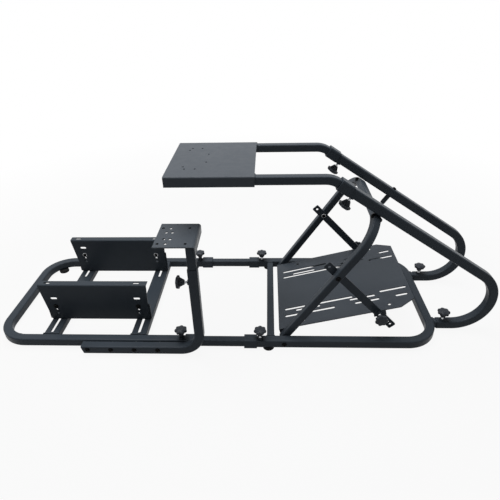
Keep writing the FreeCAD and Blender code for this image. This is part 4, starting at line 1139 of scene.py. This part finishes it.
@dataclass
class Studio:
    """Pale floor, soft lamps, white surroundings and the camera of the photo."""

    floor_half: float = 60.0
    floor_colour: Colour = (0.42, 0.42, 0.42)
    floor_mottle: Colour = (0.40, 0.40, 0.40)
    floor_roughness: float = 0.9
    floor_specular: float = 0.1
    floor_waves: float = 3.0
    shade_near: float = 1.0
    shade_far: float = 2.2
    shade_share: float = 0.92
    fill_colour: Colour = (0.94, 0.97, 1.0)
    fill_strength: float = 0.10
    lamps: tuple[Lamp, ...] = (Lamp("overhead", (-0.4, 0.4, 3.0), (0.0, 0.0, 0.2), 2.6, 110.0),
                               Lamp("fill", (0.8, -3.2, 2.0), (0.0, 0.0, 0.2), 2.4, 3.0))
    sensor: float = 36.0
    lens: float = 31.85
    yaw: float = -2.75
    pitch: float = 31.67
    roll: float = 1.50
    eye: Point = (0.0906, -1.3202, 1.0608)

    @staticmethod
    def seen(bench: NodeBench) -> Socket:
        """Test whether a ray comes from the camera or by way of metal or glass.

        Args:
            bench: the node tree that the test is added to.

        Returns:
            The socket, 1 for such a ray.
        """
        rays = bench.add("ShaderNodeLightPath").outputs
        seen = rays["Is Camera Ray"]
        for kind in ("Is Glossy Ray", "Is Transmission Ray"):
            seen = bench.add("ShaderNodeMath", {0: seen, 1: rays[kind]}, operation="MAXIMUM").outputs["Value"]
        return seen

    def floor_paint(self) -> Material:
        """Build the floor's paint: pale to the lamps, and nearly white where it is seen.

        Returns:
            The material.
        """
        board = NodeBoard("floor_paint")
        patches = board.spread(board.noise(self.floor_waves, detail=3.0), 0.0, 1.0)
        board.feed(board.shader, {
            "Roughness": self.floor_roughness, "Specular IOR Level": self.floor_specular,
            "Base Color": board.blend(patches, self.floor_colour, self.floor_mottle)})
        glow = board.add("ShaderNodeEmission", {"Color": WHITE, "Strength": 1.0})
        distance = board.add("ShaderNodeVectorMath", {0: board.coords}, operation="LENGTH").outputs["Value"]
        whiteness = board.spread(distance, self.shade_share, 1.0, self.shade_near, self.shade_far)
        mix = board.add("ShaderNodeMixShader", {
            "Fac": board.product(self.seen(board), whiteness), 1: board.shader.outputs["BSDF"],
            2: glow.outputs["Emission"]})
        board.feed(board.tree.nodes["Material Output"], {"Surface": mix.outputs["Shader"]})
        return board.material

    def floor(self) -> None:
        """Lay the floor."""
        half = self.floor_half
        mesh = bpy.data.meshes.new("floor")
        mesh.from_pydata([(-half, -half, 0.0), (half, -half, 0.0), (half, half, 0.0), (-half, half, 0.0)], [],
                         [(0, 1, 2, 3)])
        mesh.materials.append(self.floor_paint())
        new_object("floor", mesh)

    def surroundings(self) -> None:
        """Set the world: white where it is seen, a dim fill elsewhere."""
        world = bpy.data.worlds.new("studio")
        bpy.context.scene.world = world
        world.use_nodes = True
        bench = NodeBench(world.node_tree)
        white = bench.tree.nodes["Background"]
        bench.feed(white, {"Color": WHITE, "Strength": 1.0})
        fill = bench.add("ShaderNodeBackground", {"Color": (*self.fill_colour, 1.0),
                                                  "Strength": self.fill_strength})
        mix = bench.add("ShaderNodeMixShader", {
            "Fac": self.seen(bench), 1: fill.outputs["Background"], 2: white.outputs["Background"]})
        bench.feed(bench.tree.nodes["World Output"], {"Surface": mix.outputs["Shader"]})

    def lights(self) -> None:
        """Hang the soft lamps."""
        for lamp in self.lamps:
            light = bpy.data.lights.new(lamp.name, "AREA")
            light.shape = "DISK"
            light.size = lamp.size
            light.energy = lamp.power
            holder = new_object(lamp.name, light)
            holder.location = lamp.place
            look = Vector(lamp.target) - Vector(lamp.place)
            holder.rotation_euler = look.to_track_quat("-Z", "Y").to_euler()

    def camera(self) -> None:
        """Set the camera where the photo was taken."""
        yaw, pitch, roll = (radians(angle) for angle in (self.yaw, self.pitch, self.roll))
        right = Vector((cos(yaw), -sin(yaw), 0.0))
        ahead = Vector((sin(yaw) * cos(pitch), cos(yaw) * cos(pitch), -sin(pitch)))
        down = ahead.cross(right)
        rolled_right = right * cos(roll) + down * sin(roll)
        rolled_down = down * cos(roll) - right * sin(roll)
        data = bpy.data.cameras.new("photo_camera")
        data.sensor_width = self.sensor
        data.lens = self.lens
        data.clip_start, data.clip_end = 0.01, 100.0
        holder = new_object("photo_camera", data)
        axes = Matrix((rolled_right, -rolled_down, -ahead)).transposed().to_4x4()
        holder.matrix_world = Matrix.Translation(Vector(self.eye)) @ axes
        bpy.context.scene.camera = holder

    def build(self) -> None:
        """Set floor, surroundings, lamps and camera."""
        self.floor()
        self.surroundings()
        self.lights()
        self.camera()
        bpy.context.scene.view_settings.view_transform = "Standard"
        LOG.info("studio stands")


def main() -> None:
    """Load the frame, dress it and set the studio."""
    logging.basicConfig(level=logging.INFO, format="%(name)s: %(message)s")
    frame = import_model()
    shop = Workshop(frame)
    Coats(shop).build()
    StarKnobs(shop).build()
    Bolts(shop).build()
    ArmPeg(shop).build()
    Feet(shop).build()
    TubePlugs(shop).build()
    Welds(shop, WeldTree()).build()
    Studio().build()


if __name__ == "__main__":
    main()
